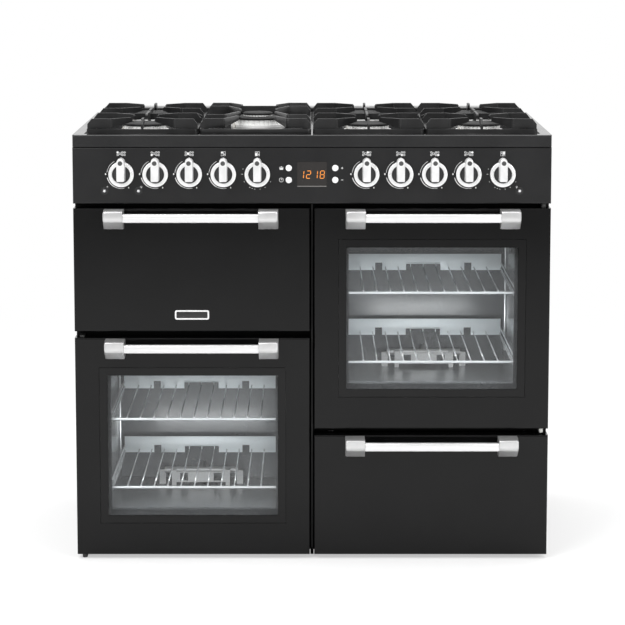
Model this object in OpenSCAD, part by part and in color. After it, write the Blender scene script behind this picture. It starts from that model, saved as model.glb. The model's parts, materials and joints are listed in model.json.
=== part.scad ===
// Range cooker: a gas hob over a grill, two side-hinged ovens and a storage drawer.
// X runs to the right, the doors face -Y and Z is up. The origin is on the floor,
// in the middle of the space that the cooker takes, its handles included.

/* [Overall] */
// Width over the doors
cooker_w = 1000; // [980:5:1040]
// Depth from the face of the doors to the back edge
body_d = 600; // [580:5:640]
// Height of the feet
foot_h = 10; // [10:1:30]

/* [Sheet and gaps] */
// Thickness of the casing sheet
sheet_t = 1.5; // [1.2:0.1:2]
// Thickness of the frame sheet
frame_t = 2; // [1.5:0.5:3]
// Gap between the left and right columns of doors
column_gap = 9.5; // [8:0.5:12]
// Gap between a door and the one below it
row_gap = 14; // [13:0.5:18]
// Gap between the doors and the control panel
panel_gap = 10; // [8:0.5:14]
// Gap between pieces that seat on, or slide in, each other
seat_clear = 0.3; // [0.1:0.1:0.4]
// Radial clearance of a pin in its hole
pin_clear = 0.06; // [0.03:0.01:0.09]

/* [Doors] */
// Height of the left oven door
left_door_h = 468; // [460:1:476]
// Height of the right oven door
right_door_h = 470; // [462:1:478]
// Height of the grill door
grill_door_h = 261; // [250:1:272]
// Thickness of the doors and of the drawer front
door_t = 38; // [36:1:44]
// Thickness of the front skin of a door
door_skin_t = 3; // [2:0.5:4]
// Thickness of the returned edges of a door
door_wall = 2.5; // [2:0.5:4]
// Radius along the front edges of a door
door_edge_r = 3; // [1.5:0.5:4]
// Thickness of the inner panel of a door
liner_t = 3; // [2:0.5:4]
// Width of the clear window of an oven door
window_w = 360; // [320:5:375]
// Height of the clear window of an oven door
window_h = 302; // [260:2:306]
// Height of the window centre above the bottom of the door
window_z = 236.5; // [228:0.5:244]
// Width of the dark border of the window glass
glass_border = 17; // [12:1:22]
// Thickness of a pane
glass_t = 4; // [3:0.5:5]

/* [Hinges] */
// Hinge pin to the outer edge of an oven door
hinge_in = 15; // [13:1:16]
// Hinge pin to the front face of an oven door
hinge_depth = 13; // [12:1:15]
// Radius of the oven hinge pins
hinge_pin_r = 4; // [3:0.5:5]
// Width of a hinge bracket
bracket_w = 10; // [9:1:14]
// Length of the hinge pin inside the door
hinge_pin_l = 14; // [10:1:18]
// Grill door pivot above the bottom of the door
grill_pivot_z = 13; // [12:1:15]
// Grill door pivot behind the front face of the door
grill_pivot_y = 17; // [16:1:19]
// Radius of the grill door pivot pins
grill_pin_r = 3; // [2.5:0.5:3.5]
// Width of a grill door hinge arm
arm_w = 6; // [5:1:8]

/* [Handles] */
// Length of a handle over its end caps
handle_l = 364; // [320:2:400]
// Reach of a handle in front of the door
handle_reach = 50; // [44:1:58]
// Width of an end cap
cap_w = 41; // [34:1:48]
// Height of the bar
bar_h = 18; // [14:1:22]
// Thickness of the bar
bar_t = 12; // [9:1:14]
// Middle of the bar below the top of the door
handle_drop = 16; // [16:1:30]

/* [Control panel] */
// Height of the control panel
panel_h = 118; // [114:1:126]
// Thickness of the panel sheet
panel_t = 2; // [1.5:0.5:3]
// Middle of the cooker to the first knob on either side
knob_start = 114; // [106:1:122]
// Last knob to the end of the control panel
knob_end = 102; // [96:1:110]
// Height of the knobs above the bottom of the panel
knob_z = 62; // [58:1:64]
// Outer radius of a knob ring
knob_r = 26.5; // [24:0.5:28]
// Inner radius of a knob ring
knob_in_r = 18.8; // [17:0.2:20]
// Width of the grip of a knob
grip_w = 17.6; // [15:0.2:19]
// Depth of a knob from the panel to the front of its grip
knob_d = 33; // [28:1:38]
// Radius of a tap spindle
spindle_r = 3; // [2.5:0.5:4]
// Width of the timer window
display_w = 62; // [54:1:68]
// Height of the timer window
display_h = 50; // [44:1:54]
// Radius of a timer button
timer_button_r = 6.5; // [5:0.5:7]
// Radius of a push button
push_button_r = 4.5; // [4:0.5:6]
// Travel of the buttons
button_travel = 1.5; // [1:0.1:2]

/* [Hob] */
// Height of the front band of the hob
hob_band_h = 25; // [24:1:32]
// Depth of the recess that the pan supports stand in
hob_recess = 3; // [2:0.5:5]
// Width of the rim round the recess
hob_rim_w = 22; // [16:1:24]
// Height of the flue cover above the rim
flue_h = 16; // [8:1:22]
// Depth of the flue cover
flue_d = 56; // [44:2:60]
// Gap between the rim and the outer pan supports
support_side = 3; // [2:0.5:6]
// Gap between two pan supports
support_gap = 3.5; // [2:0.5:8]
// Depth of a pan support
support_d = 468; // [460:2:480]
// Middle of the pan supports behind the face of the doors
support_y = 269; // [264:1:276]
// Height of a pan support
support_h = 33; // [32:1:38]
// Height of the rail round a pan support
support_rail_h = 12; // [10:1:13]
// Thickness of the fingers
finger_t = 5; // [4:0.5:7]
// Burner centres in front of and behind the middle of a pan support
burner_dy = 142.5; // [138:0.5:146]
// Radius of a burner crown
crown_r = 50; // [44:1:54]
// Radius of the outer crown of the wok burner
wok_r = 59; // [54:1:62]
// Radius of the inner crown of the wok burner
wok_in_r = 31.5; // [28:0.5:32]
// Ports round a burner crown
port_count = 30; // [20:2:36]

/* [Ovens] */
// Width inside an oven
cavity_w = 372; // [360:2:384]
// How much lower an oven is inside than its door
cavity_rim = 132; // [128:2:140]
// Depth inside an oven
cavity_d = 386; // [370:2:410]
// Sill of an oven above the bottom of its door
cavity_floor = 92; // [88:1:96]
// Depth of the well behind the sill of an oven
well_h = 25; // [15:1:27]
// Width of the flange round an oven mouth
flange_w = 18; // [16:1:20]
// Width of a door seal
seal_w = 8; // [6:1:10]
// Thickness of a door seal, from the flange to the door
seal_t = 4.5; // [4.5:0.1:6]
// Thickness of the insulation round an oven
wool_t = 24; // [16:1:25]
// Height of the lower shelf above the oven floor
shelf_low = 43; // [40:1:60]
// Height from the lower shelf to the upper one
shelf_step = 149; // [120:1:160]
// Depth of a shelf
shelf_d = 352; // [330:2:360]
// Distance between the wires of a shelf
wire_pitch = 28.6; // [24:0.2:34]
// Radius of the shelf wires
wire_r = 1.6; // [1.2:0.1:2]
// Radius of the shelf rails
rail_r = 3; // [2.6:0.1:3.4]
// Height of the plate at the back of a shelf
guard_h = 34; // [28:1:40]

/* [Grill] */
// Width inside the grill
grill_w = 420; // [400:2:432]
// Height inside the grill
grill_h = 186; // [176:2:190]
// Depth inside the grill
grill_d = 390; // [370:2:410]
// Floor of the grill above the bottom of its door
grill_floor = 42; // [40:1:46]
// Depth of the grill pan
pan_d = 320; // [300:2:340]
// Height of the grill pan
pan_h = 30; // [24:1:40]

/* [Drawer] */
// Width of the drawer box
drawer_w = 412; // [400:2:414]
// Depth of the drawer box
drawer_d = 420; // [400:5:440]
// Height of the drawer box
drawer_box_h = 170; // [150:2:180]
// Travel of the drawer
drawer_travel = 380; // [300:5:390]

/* [Hidden] */
$fn = 48;
eps = 0.01;

total_d = body_d + handle_reach;
face_y = handle_reach - total_d / 2;
back_y = total_d / 2;
door_back_y = face_y + door_t;
flange_y = door_back_y + seal_t;
frame_y = flange_y + sheet_t;
frame_back_y = frame_y + frame_t;
cavity_y = frame_back_y + cavity_d;

door_w = (cooker_w - column_gap) / 2;
cavity_h = min(left_door_h, right_door_h) - cavity_rim;
col_x = (door_w + column_gap) / 2;
left_door_top = foot_h + left_door_h;
grill_z = left_door_top + row_gap;
doors_top = grill_z + grill_door_h;
right_z = doors_top - right_door_h;
drawer_h = right_z - row_gap - foot_h;
panel_z = doors_top + panel_gap;
panel_top = panel_z + panel_h;
hob_gap = 1;
hob_bottom = panel_top + hob_gap;
hob_top = hob_bottom + hob_band_h;
hob_floor = hob_top - hob_recess;
hob_t = 2;
hob_w_in = cooker_w - 2 * hob_rim_w;

// The back panel is set in from the back edge, so that its fittings stay inside the depth.
back_inset = 20;
back_panel_y = back_y - back_inset;
side_flange = 18;

// Openings in the face of the frame, each a little larger than the box it holds.
mouth_clear = 0.5;
slot_z0 = panel_z + 16;
slot_z1 = panel_top - 12;
knob_pitch = (cooker_w / 2 - knob_start - knob_end) / 4;
slot_end = 58;
slot_w = cooker_w - 2 * slot_end;

// Slots along the flue cover at the back of the hob.
flue_count = 12;
flue_pitch = 62;
flue_l = 44;
flue_w = 7;
flue_in = 8;
flue_y = back_y - flue_in - flue_d;

// The drawer's mouth ends this much below the shelf plate over it.
drawer_mouth_drop = 6;

// Base rails, posts and the walls between the compartments.
rail_h = 26;
rail_w = 30;
post_w = 24;
shelf_plate_t = 2;

// Hinge brackets reach into the gaps above and below the oven doors.
bracket_clear = 0.6;
bracket_nose = 5;
hinge_hole_extra = 2;
hinge_block_w = 30;
hinge_block_h = 24;
hinge_y = face_y + hinge_depth;
hinge_x = cooker_w / 2 - hinge_in;
bracket_t = 3.4;
low_bracket_t = 8;

grill_pin_y = face_y + grill_pivot_y;
grill_pin_z = grill_z + grill_pivot_z;
grill_arm_x = 34;
arm_h = 9;
arm_clear = 1;
pivot_block_w = 26;
pivot_block_h = 28;
grill_pin_l = arm_w + 18;

glass_clear = 0.5;
glass_seat = 2;
seat_edge = 6;
glass_w = window_w + 2 * glass_border;
glass_h = window_h + 2 * glass_border;
inner_border = 10;

bar_top = 15;
cap_drop = 25;
cap_proud = 2;

disc_y = 5;
ring_y = 10;
knob_stand = 0.5;
grip_low = 14;
grip_head = 26;
head_r = 8.8;
dot_r = 4.8;
spindle_in = 18;
tap_r = 7.5;
tap_nut_r = 12;
tap_nut_t = 3;
spindle_depth = 18;
panel_hole_r = spindle_r + 1.5;
manifold_r = 9;
manifold_y = frame_back_y + manifold_r + 12;
knob_height = panel_z + knob_z;
knobs_x = [for (side = [-1, 1], i = [4:-1:0])
    side * (knob_start + (side < 0 ? i : 4 - i) * knob_pitch)];

button_hole = 0.2;
button_stand = 1.5;
button_proud = button_stand + button_travel;
button_flange = 1.5;
button_flange_t = 1.2;
button_back = 4.6;
push_z = 27;
push_x = [-(knob_start + 4.5 * knob_pitch), -(knob_start + 3.5 * knob_pitch),
    knob_start + 4.5 * knob_pitch];
timer_x = 48.5;
timer_z = [50, 75];
display_z = 63;
display_lens_t = 4;
timer_box_d = 24;

crown_base_h = 5;
crown_h = 14;
crown_step = 5;
cap_edge_h = 3;
cap_dome_h = 5;
cap_over = 2;
port_depth = 2.4;
stem_r = 14;
stem_l = 22;
wok_h = 16;
wok_in_h = 9;
wok_hole_r = wok_in_r - 4;

foot_x = cooker_w / 2 - 45;
foot_front_y = frame_back_y + 40;
foot_back_y = back_panel_y - 50;

cavity_outer_w = cavity_w + 2 * sheet_t;
left_floor = foot_h + cavity_floor;
right_floor = right_z + cavity_floor;
grill_bottom = grill_z + grill_floor;
sill_d = 12;
rack_r = 2.5;
rack_in = 9;
rack_levels = [shelf_low, shelf_low + shelf_step];
rack_gap = 14;
rack_post_in = 40;
rack_low = 12;
shelf_w = cavity_w - 2 * (seat_clear + 2 * rack_r) - 2;
shelf_front = 45 - (frame_back_y - face_y);
shelf_y = frame_back_y + max(shelf_front, 4);

grill_ledge = 12;
grill_ledge_z = 60;
grill_ledge_t = 2;
pan_w = grill_w - 2 * (sheet_t + 3);
pan_y = frame_back_y + 16;

drawer_wall = 1.5;
drawer_lip = 12;
runner_t = 2;
runner_clear = 1;
drawer_box_z = foot_h + rail_h + 14;

// Stops of the drawer: a tab on each lip meets a block on its runner.
stop_t = 3;
stop_h = 5;
stop_gap = 1;
stop_y = frame_back_y + 2 * stop_t;

// The pan supports' width and their places across the cooker, from the left.
support_pitch = (cooker_w - 2 * hob_rim_w - 2 * support_side) / 4;
support_w = support_pitch - support_gap;
supports_x = [for (i = [0:3]) (i - 1.5) * support_pitch];
support_mid_y = face_y + support_y;
wok_x = supports_x[1];
// Burner centres and radii: pairs under three supports, and the wok burner under the second.
burners = concat([for (i = [0, 2, 3], s = [-1, 1])
    [supports_x[i], support_mid_y + s * burner_dy, crown_r]], [[wok_x, support_mid_y, wok_r]]);

// Fingers of the pan supports: the underside along a finger and at its tip, the height
// at the rail, the cut corner of a tip, how far out a finger bends, and how much the
// bend is thicker than the finger.
finger_low = 13;
tip_low = 24;
root_h = 22;
tip_cut = 3;
finger_bend_x = 67;
bend_over = 0.8;

// Bends and tips of the fingers of a two-burner support, for its front half.
pair_root_y = [219, 66];
pair_tip = [25, 39];

// Roots and tips, from front to back, of the fingers of the wok support.
wok_root_y = [-211, -105, 129, 224];
wok_tip_y = [-137, -19, 55, 171];
wok_tip_x = 39;

vent_w = 70;
vent_h = 5;
vent_pitch = 14;
vent_rows = 6;
gas_x = cooker_w / 2 - 62;
gas_z = panel_z;
gas_pin_r = 10.48;
gas_hole_r = gas_pin_r + 2;
terminal_in = 110;
terminal_x = terminal_in - cooker_w / 2;
terminal_z = panel_z - 60;
terminal_w = 84;
terminal_h = 64;
terminal_d = 18;

feed_r = 6;
feed_z = 32;

// Tube burner of an oven: its legs, and the bracket in front of it with two windows.
tube_r = 7;
tube_l = 166;
tube_in = 64;
tube_leg_x = 88;
tube_leg_w = 14;
tube_leg_t = 5;
bracket_plate_w = 132;
bracket_plate_h = 24;
bracket_plate_z = 8;
bracket_plate_in = 302;
bracket_window = 18;
bracket_window_x = 38;
bracket_leg_w = 10;
feed_out = 30;

// Grill burner: a tray under the roof of the grill, with bars across its mouth.
grill_tray_w = 280;
grill_tray_d = 240;
grill_tray_h = 20;
grill_tray_in = 60;
grill_tray_wall = 8;
grill_tray_depth = 5;
grill_bars = 9;
grill_bar_pitch = 25;
grill_bar_t = 6;
grill_feed_drop = 24;

steel = [0.62, 0.63, 0.64];
black = [0.08, 0.08, 0.085];
dark = [0.16, 0.16, 0.17];
enamel = [0.34, 0.35, 0.37];
bright = [0.82, 0.82, 0.83];
wool = [0.86, 0.83, 0.7];

// A box between two corners.
module box(lo, hi) {
    translate(lo) cube(hi - lo);
}

// A drawing of X and Z made into a plate that starts at y0 and runs back by t.
module upright(y0, t) {
    translate([0, y0 + t, 0]) rotate([90, 0, 0]) linear_extrude(t) children();
}

// A drawing of Y and Z made into a bar that starts at x0 and runs right by l.
module along_x(x0, l) {
    translate([x0, 0, 0]) rotate([90, 0, 90]) linear_extrude(l) children();
}

module rod_x(r, x0, x1) {
    translate([x0, 0, 0]) rotate([0, 90, 0]) cylinder(r = r, h = x1 - x0);
}

module rod_y(r, y0, y1) {
    translate([0, y0, 0]) rotate([-90, 0, 0]) cylinder(r = r, h = y1 - y0);
}

module round_rect(w, h, r) {
    square([w - 2 * r, h], center = true);
    square([w, h - 2 * r], center = true);
    for (x = [-1, 1], y = [-1, 1]) translate([x * (w / 2 - r), y * (h / 2 - r)]) circle(r);
}

// A rectangle from 0 to t and 0 to h whose two corners at 0 are rounded.
module front_rounded(t, h, r) {
    translate([r, 0]) square([t - r, h]);
    translate([0, r]) square([t, h - 2 * r]);
    for (z = [r, h - r]) translate([r, z]) circle(r);
}

// A slab centred on X, from y = 0 back and from z = 0 up, with round front edges.
module slab(w, h, t, r) {
    intersection() {
        along_x(-w / 2, w) front_rounded(t, h, r);
        linear_extrude(h) rotate(-90) mirror([1, 0]) translate([0, -w / 2]) front_rounded(t, w, r);
    }
}

// A slab hollowed out from behind, as a folded sheet is.
module tray_front(w, h, t, r, skin, wall) {
    difference() {
        slab(w, h, t, r);
        box([wall - w / 2, skin, wall], [w / 2 - wall, t + 1, h - wall]);
    }
}

// Casing

module side_panel() {
    x0 = cooker_w / 2 - sheet_t;
    color(black) {
        box([x0, frame_back_y, foot_h], [cooker_w / 2, back_y, hob_bottom]);
        box([x0 - side_flange, frame_back_y, foot_h], [x0 + eps, frame_back_y + sheet_t, hob_bottom]);
        box([x0 - side_flange, back_panel_y - sheet_t, foot_h], [x0 + eps, back_panel_y, hob_bottom]);
    }
}

module side_panel_left() {
    mirror([1, 0, 0]) side_panel();
}

module side_panel_right() {
    side_panel();
}

// Two stiffening ribs a column, rows of vents and the hole for the gas pipe.
module back_panel() {
    w = cooker_w - 2 * sheet_t - 2 * seat_clear;
    rib_w = 16;
    color(steel) difference() {
        union() {
            box([-w / 2, back_panel_y, foot_h], [w / 2, back_panel_y + sheet_t, hob_bottom]);
            for (x = [-1, 1], z = [left_floor + 60, right_floor + 60])
                box([x * col_x - cavity_w / 2, back_panel_y + eps, z],
                    [x * col_x + cavity_w / 2, back_panel_y + 2 * sheet_t, z + rib_w]);
        }
        for (x = [-1.5, -0.5, 0.5, 1.5], i = [0:vent_rows - 1])
            translate([x * 2 * vent_w, 0, left_floor + 130 + i * vent_pitch]) upright(back_panel_y - 1, 4)
                round_rect(vent_w, vent_h, vent_h / 2 - eps);
        translate([gas_x, 0, gas_z]) rod_y(gas_hole_r, back_panel_y - 1, back_panel_y + 4);
    }
}

// The edges of the mouth that a box needs in the face plates: left, right, bottom and top.
function mouth(x, floor_z, w, h) = [x - w / 2 - mouth_clear, x + w / 2 + mouth_clear,
    floor_z - sheet_t - mouth_clear, floor_z - sheet_t + h + mouth_clear];

// Face plates, walls, posts and rails, each seated on the next.
module chassis_frame() {
    w = cooker_w - 2 * sheet_t;
    oven_w = cavity_outer_w;
    oven_h = cavity_h + 2 * sheet_t;
    left_mouth = mouth(-col_x, left_floor, oven_w, oven_h);
    right_mouth = mouth(col_x, right_floor, oven_w, oven_h);
    grill_mouth = mouth(-col_x, grill_bottom, grill_w + 2 * sheet_t, grill_h + 2 * sheet_t);
    drawer_half = drawer_w / 2 + drawer_lip + runner_clear;
    drawer_mouth = [col_x - drawer_half, col_x + drawer_half, foot_h + rail_h,
        right_z - row_gap / 2 - drawer_mouth_drop];
    color(dark) {
        plates_round(-w / 2, 0, foot_h, left_mouth);
        plates_round(-w / 2, 0, left_mouth[3], grill_mouth);
        face_plate(-w / 2, 0, grill_mouth[3], slot_z0);
        plates_round(0, w / 2, foot_h, drawer_mouth);
        plates_round(0, w / 2, drawer_mouth[3], right_mouth);
        face_plate(0, w / 2, right_mouth[3], slot_z0);
        face_plate(-w / 2, -slot_w / 2, slot_z0, slot_z1);
        face_plate(slot_w / 2, w / 2, slot_z0, slot_z1);
        face_plate(-w / 2, w / 2, slot_z1, hob_bottom);
        frame_walls();
        frame_posts();
    }
}

// A flat plate in the face of the frame, a seating gap short of its neighbours.
module face_plate(x0, x1, z0, z1) {
    half = seat_clear / 2;
    box([x0 + half, frame_y, z0 + half], [x1 - half, frame_back_y, z1 - half]);
}

// The plates under and beside a mouth, in a column from x0 to x1 and from z0 up.
module plates_round(x0, x1, z0, edges) {
    face_plate(x0, x1, z0, edges[2]);
    face_plate(x0, edges[0], edges[2], edges[3]);
    face_plate(edges[1], x1, edges[2], edges[3]);
}

// The strip that shows between the columns of doors, the wall behind it, and the
// shelves between the rows.
module frame_walls() {
    in_x = cooker_w / 2 - sheet_t - side_flange;
    front = frame_back_y + seat_clear;
    rear = back_panel_y - sheet_t - rail_w - seat_clear;
    wall = frame_t / 2;
    divider_t = 3;
    box([-divider_t / 2, face_y + grill_pivot_y, foot_h], [divider_t / 2, frame_y - seat_clear, doors_top]);
    box([-wall, front, foot_h], [wall, rear, panel_z]);
    box([-in_x, front, left_door_top + row_gap / 2],
        [-wall - seat_clear, rear, left_door_top + row_gap / 2 + shelf_plate_t]);
    box([wall + seat_clear, front, right_z - row_gap / 2],
        [in_x, rear, right_z - row_gap / 2 + shelf_plate_t]);
}

// The posts and the rail at the back, and the base rail over the feet of each side.
module frame_posts() {
    in_x = cooker_w / 2 - sheet_t - side_flange;
    y1 = back_panel_y - sheet_t;
    post_x = in_x - post_w;
    for (s = [0, 1]) mirror([s, 0, 0]) {
        box([post_x, y1 - post_w, foot_h], [in_x, y1, hob_bottom]);
        box([foot_x - rail_w / 2, frame_back_y + seat_clear, foot_h],
            [foot_x + rail_w / 2, y1 - rail_w - seat_clear, foot_h + rail_h]);
    }
    box([seat_clear - post_x, y1 - rail_w, foot_h], [post_x - seat_clear, y1, foot_h + rail_h]);
}

module levelling_feet() {
    pad_r = 20;
    color(black) for (x = [-foot_x, foot_x], y = [foot_front_y, foot_back_y])
        translate([x, y, 0]) rotate_extrude() polygon([[0, 0], [pad_r, 0], [pad_r, foot_h * 0.4],
            [pad_r - 4, foot_h * 0.7], [pad_r - 8, foot_h], [0, foot_h]]);
}

// Hob

module hob_tray() {
    d_in = body_d - 2 * hob_rim_w;
    corner = 12;
    mid_y = face_y + body_d / 2;
    under = hob_floor - hob_t;
    color(black) difference() {
        union() {
            difference() {
                translate([0, 0, hob_bottom]) intersection() {
                    along_x(-cooker_w / 2, cooker_w) translate([face_y, 0]) hob_profile();
                    linear_extrude(hob_band_h) translate([0, mid_y]) round_rect(cooker_w, body_d, 6);
                }
                translate([0, mid_y, hob_floor]) linear_extrude(hob_recess + 1)
                    round_rect(hob_w_in, d_in, corner);
            }
            flue_cover();
        }
        box([hob_t - cooker_w / 2, face_y + hob_t, hob_bottom - 1],
            [cooker_w / 2 - hob_t, back_y - hob_t, under]);
        box([hob_t - hob_w_in / 2, flue_y + hob_t, under - 1],
            [hob_w_in / 2 - hob_t, flue_y + flue_d - hob_t, hob_top + flue_h - hob_t]);
        for (b = burners) translate([b[0], b[1], under - 1]) cylinder(r = stem_r + 1, h = hob_t + 2);
        for (i = [0:flue_count - 1]) translate([(i - (flue_count - 1) / 2) * flue_pitch,
            flue_y + flue_d / 2, hob_top]) linear_extrude(flue_h + 1)
                round_rect(flue_l, flue_w, flue_w / 2 - eps);
    }
}

// The raised cover over the flues, with round top edges.
module flue_cover() {
    edge_r = 4;
    h = hob_top + flue_h - hob_floor;
    translate([0, 0, hob_floor - eps]) along_x(-hob_w_in / 2, hob_w_in) translate([flue_y, 0]) {
        square([flue_d, h - edge_r]);
        translate([edge_r, 0]) square([flue_d - 2 * edge_r, h]);
        for (y = [edge_r, flue_d - edge_r]) translate([y, h - edge_r]) circle(edge_r);
    }
}

module hob_profile() {
    edge_r = 3;
    square([body_d, hob_band_h - edge_r]);
    translate([edge_r, 0]) square([body_d - 2 * edge_r, hob_band_h]);
    for (y = [edge_r, body_d - edge_r]) translate([y, hob_band_h - edge_r]) circle(edge_r);
}

module ported_ring(r, in_r, h, count) {
    step = 360 / count;
    linear_extrude(h) difference() {
        polygon([for (i = [0:count - 1], p = [[0, r], [0.62, r], [0.66, r - port_depth],
            [0.96, r - port_depth]]) p[1] * [cos((i + p[0]) * step), sin((i + p[0]) * step)]]);
        circle(in_r);
    }
}

module crown(r, h, base_h) {
    wall = 9;
    ring_r = r - crown_step;
    translate([0, 0, base_h - eps]) ported_ring(ring_r, ring_r - wall, h - base_h, port_count);
    difference() {
        cylinder(r = r, h = base_h);
        translate([0, 0, base_h - 1]) cylinder(r = ring_r - wall, h = 2);
    }
    translate([0, 0, -stem_l]) cylinder(r = stem_r, h = stem_l + eps);
}

module burner_crowns() {
    color(bright) for (b = burners) translate([b[0], b[1], hob_floor]) {
        if (b[2] == wok_r) {
            crown(wok_r, wok_h, crown_base_h);
            translate([0, 0, crown_base_h - 1]) difference() {
                cylinder(r = wok_in_r - crown_step, h = wok_h - crown_base_h + 1);
                translate([0, 0, 2]) cylinder(r = wok_hole_r - crown_step, h = wok_h);
            }
            translate([0, 0, wok_h - eps]) ported_ring(wok_in_r, wok_hole_r - crown_step, wok_in_h,
                port_count);
        } else {
            crown(b[2], crown_h, crown_base_h);
        }
    }
}

module cap_disc(r, hole_r) {
    rotate_extrude() polygon([[hole_r, 0], [r, 0], [r, cap_edge_h], [r - 3, cap_dome_h],
        [hole_r, cap_dome_h + 1]]);
}

module burner_caps() {
    color(black) for (b = burners) translate([b[0], b[1], hob_floor]) {
        if (b[2] == wok_r) {
            translate([0, 0, wok_h]) cap_disc(wok_r - crown_step + cap_over, wok_in_r + 1);
            translate([0, 0, wok_h + wok_in_h]) cap_disc(wok_in_r + cap_over - 1, 0);
        } else {
            translate([0, 0, crown_h]) cap_disc(b[2] - crown_step + cap_over, 0);
        }
    }
}

module spark_igniters() {
    body_r = 3.2;
    tip_r = 1.2;
    angle = 215;
    color("white") for (b = burners) {
        reach = b[2] + body_r + 1;
        translate([b[0] + reach * cos(angle), b[1] + reach * sin(angle), hob_floor]) {
            cylinder(r = body_r, h = 9);
            cylinder(r = tip_r, h = 13);
        }
    }
}

// A vertical plate from one point to another, seen from the side as a drawing of
// the distance from the first point and the height.
module plate(from, to, side) {
    run = to - from;
    translate([from[0], from[1], 0]) rotate([0, 0, atan2(run[1], run[0])])
        translate([0, finger_t / 2, 0]) rotate([90, 0, 0]) linear_extrude(finger_t) polygon(side);
}

// A finger that stands on the rail and runs straight in to its tip.
module straight_finger(from, to) {
    l = norm(to - from);
    plate(from, to, [[0, 2], [8, 2], [14, finger_low], [l, tip_low], [l, support_h - tip_cut],
        [l - tip_cut, support_h], [10, support_h], [0, root_h]]);
}

// A finger that leaves the side rail square, then bends towards its burner.
module bent_finger(side, y0, tip) {
    root = [side * (support_w / 2 - 1), y0];
    bend = [side * finger_bend_x, y0];
    l = norm(bend - root);
    plate(root, bend, [[0, 2], [10, 2], [18, finger_low], [l, finger_low], [l, support_h],
        [9, support_h], [0, root_h]]);
    translate([bend[0], bend[1], finger_low]) cylinder(r = finger_t / 2 + bend_over,
        h = support_h - finger_low);
    run = norm(tip - bend);
    plate(bend, tip, [[0, finger_low], [run, tip_low], [run, support_h - tip_cut],
        [run - tip_cut, support_h], [0, support_h]]);
}

module support_rails() {
    bar_w = 8;
    foot = 2;
    w = support_w;
    d = support_d;
    translate([0, 0, foot]) linear_extrude(support_rail_h - foot) difference() {
        round_rect(w, d, 8);
        round_rect(w - 2 * bar_w, d - 2 * bar_w, 3);
    }
    for (x = [-1, 1], y = [-1, 1]) translate([x * (w / 2 - 10), y * (d / 2 - bar_w / 2), 0])
        cylinder(r = bar_w / 2 - 0.5, h = foot + 1);
}

module twin_support() {
    end_y = support_d / 2 - 1;
    support_rails();
    for (half = [-1, 1]) {
        centre = half * burner_dy;
        for (side = [-1, 1]) {
            bent_finger(side, half * pair_root_y[0], [side * pair_tip[0], centre + half * pair_tip[1]]);
            bent_finger(side, half * pair_root_y[1], [side * pair_tip[0], centre - half * pair_tip[1]]);
        }
        straight_finger([0, half * end_y], [0, centre + half * (crown_r - 4)]);
        straight_finger([0, half], [0, centre - half * (crown_r - 4)]);
    }
    plate([1 - support_w / 2, 0], [support_w / 2 - 1, 0], [[0, 2], [10, 2], [20, finger_low],
        [support_w - 22, finger_low], [support_w - 12, 2], [support_w - 2, 2], [support_w - 2, root_h],
        [support_w - 12, support_h - 6], [10, support_h - 6], [0, root_h]]);
}

module wok_support() {
    support_rails();
    for (side = [-1, 1], i = [0:3])
        bent_finger(side, wok_root_y[i], [side * wok_tip_x, wok_tip_y[i]]);
    cross_x = wok_tip_x + 1;
    plate([-cross_x, wok_tip_y[3]], [cross_x, wok_tip_y[3]], [[0, tip_low - 8],
        [2 * cross_x, tip_low - 8], [2 * cross_x, support_h - tip_cut], [0, support_h - tip_cut]]);
}

module pan_support(i) {
    color(black) translate([supports_x[i], support_mid_y, hob_floor]) {
        if (i == 1) wok_support();
        else twin_support();
    }
}

// Controls

module control_panel() {
    color(dark) difference() {
        translate([0, face_y, panel_z])
            tray_front(cooker_w, panel_h, frame_y - face_y, door_edge_r, panel_t, panel_t);
        for (x = knobs_x) translate([x, 0, knob_height])
            rod_y(panel_hole_r, face_y - 1, face_y + panel_t + 1);
        for (x = [-timer_x, timer_x], z = timer_z) translate([x, 0, panel_z + z])
            rod_y(timer_button_r + button_hole, face_y - 1, face_y + panel_t + 1);
        for (x = push_x) translate([x, 0, panel_z + push_z])
            rod_y(push_button_r + button_hole, face_y - 1, face_y + panel_t + 1);
        translate([0, 0, panel_z + display_z]) upright(face_y - 1, panel_t + 2)
            square([display_w + 2 * button_hole, display_h + 2 * button_hole], center = true);
    }
}

// The lens in the panel and the housing of the timer behind it.
module timer_module() {
    z = panel_z + display_z;
    color(black) translate([0, 0, z]) {
        upright(face_y - 0.5, display_lens_t) round_rect(display_w, display_h, 2);
        upright(face_y - 0.5 + display_lens_t + seat_clear, timer_box_d)
            square([display_w + 10, display_h + 6], center = true);
    }
}

module button(r) {
    edge = 1;
    inner = panel_t + seat_clear;
    rotate([90, 0, 0]) rotate_extrude() polygon([[0, -inner - button_back], [r - 1, -inner - button_back],
        [r - 1, -inner - button_flange_t], [r + button_flange, -inner - button_flange_t],
        [r + button_flange, -inner], [r, -inner], [r, button_proud - edge], [r - edge, button_proud - 0.3],
        [r / 2, button_proud], [0, button_proud]]);
}

module timer_button(i) {
    x = i < 2 ? -timer_x : timer_x;
    color(bright) translate([x, face_y, panel_z + timer_z[1 - i % 2]]) button(timer_button_r);
}

module push_button(i) {
    color(bright) translate([push_x[i], face_y, panel_z + push_z]) button(push_button_r);
}

module grip_outline() {
    translate([-grip_w / 2, -grip_low]) square([grip_w, grip_low + grip_head]);
    translate([0, grip_head]) intersection() {
        circle(grip_w / 2);
        translate([-grip_w / 2, -1]) square([grip_w, head_r + 2]);
    }
}

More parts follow.
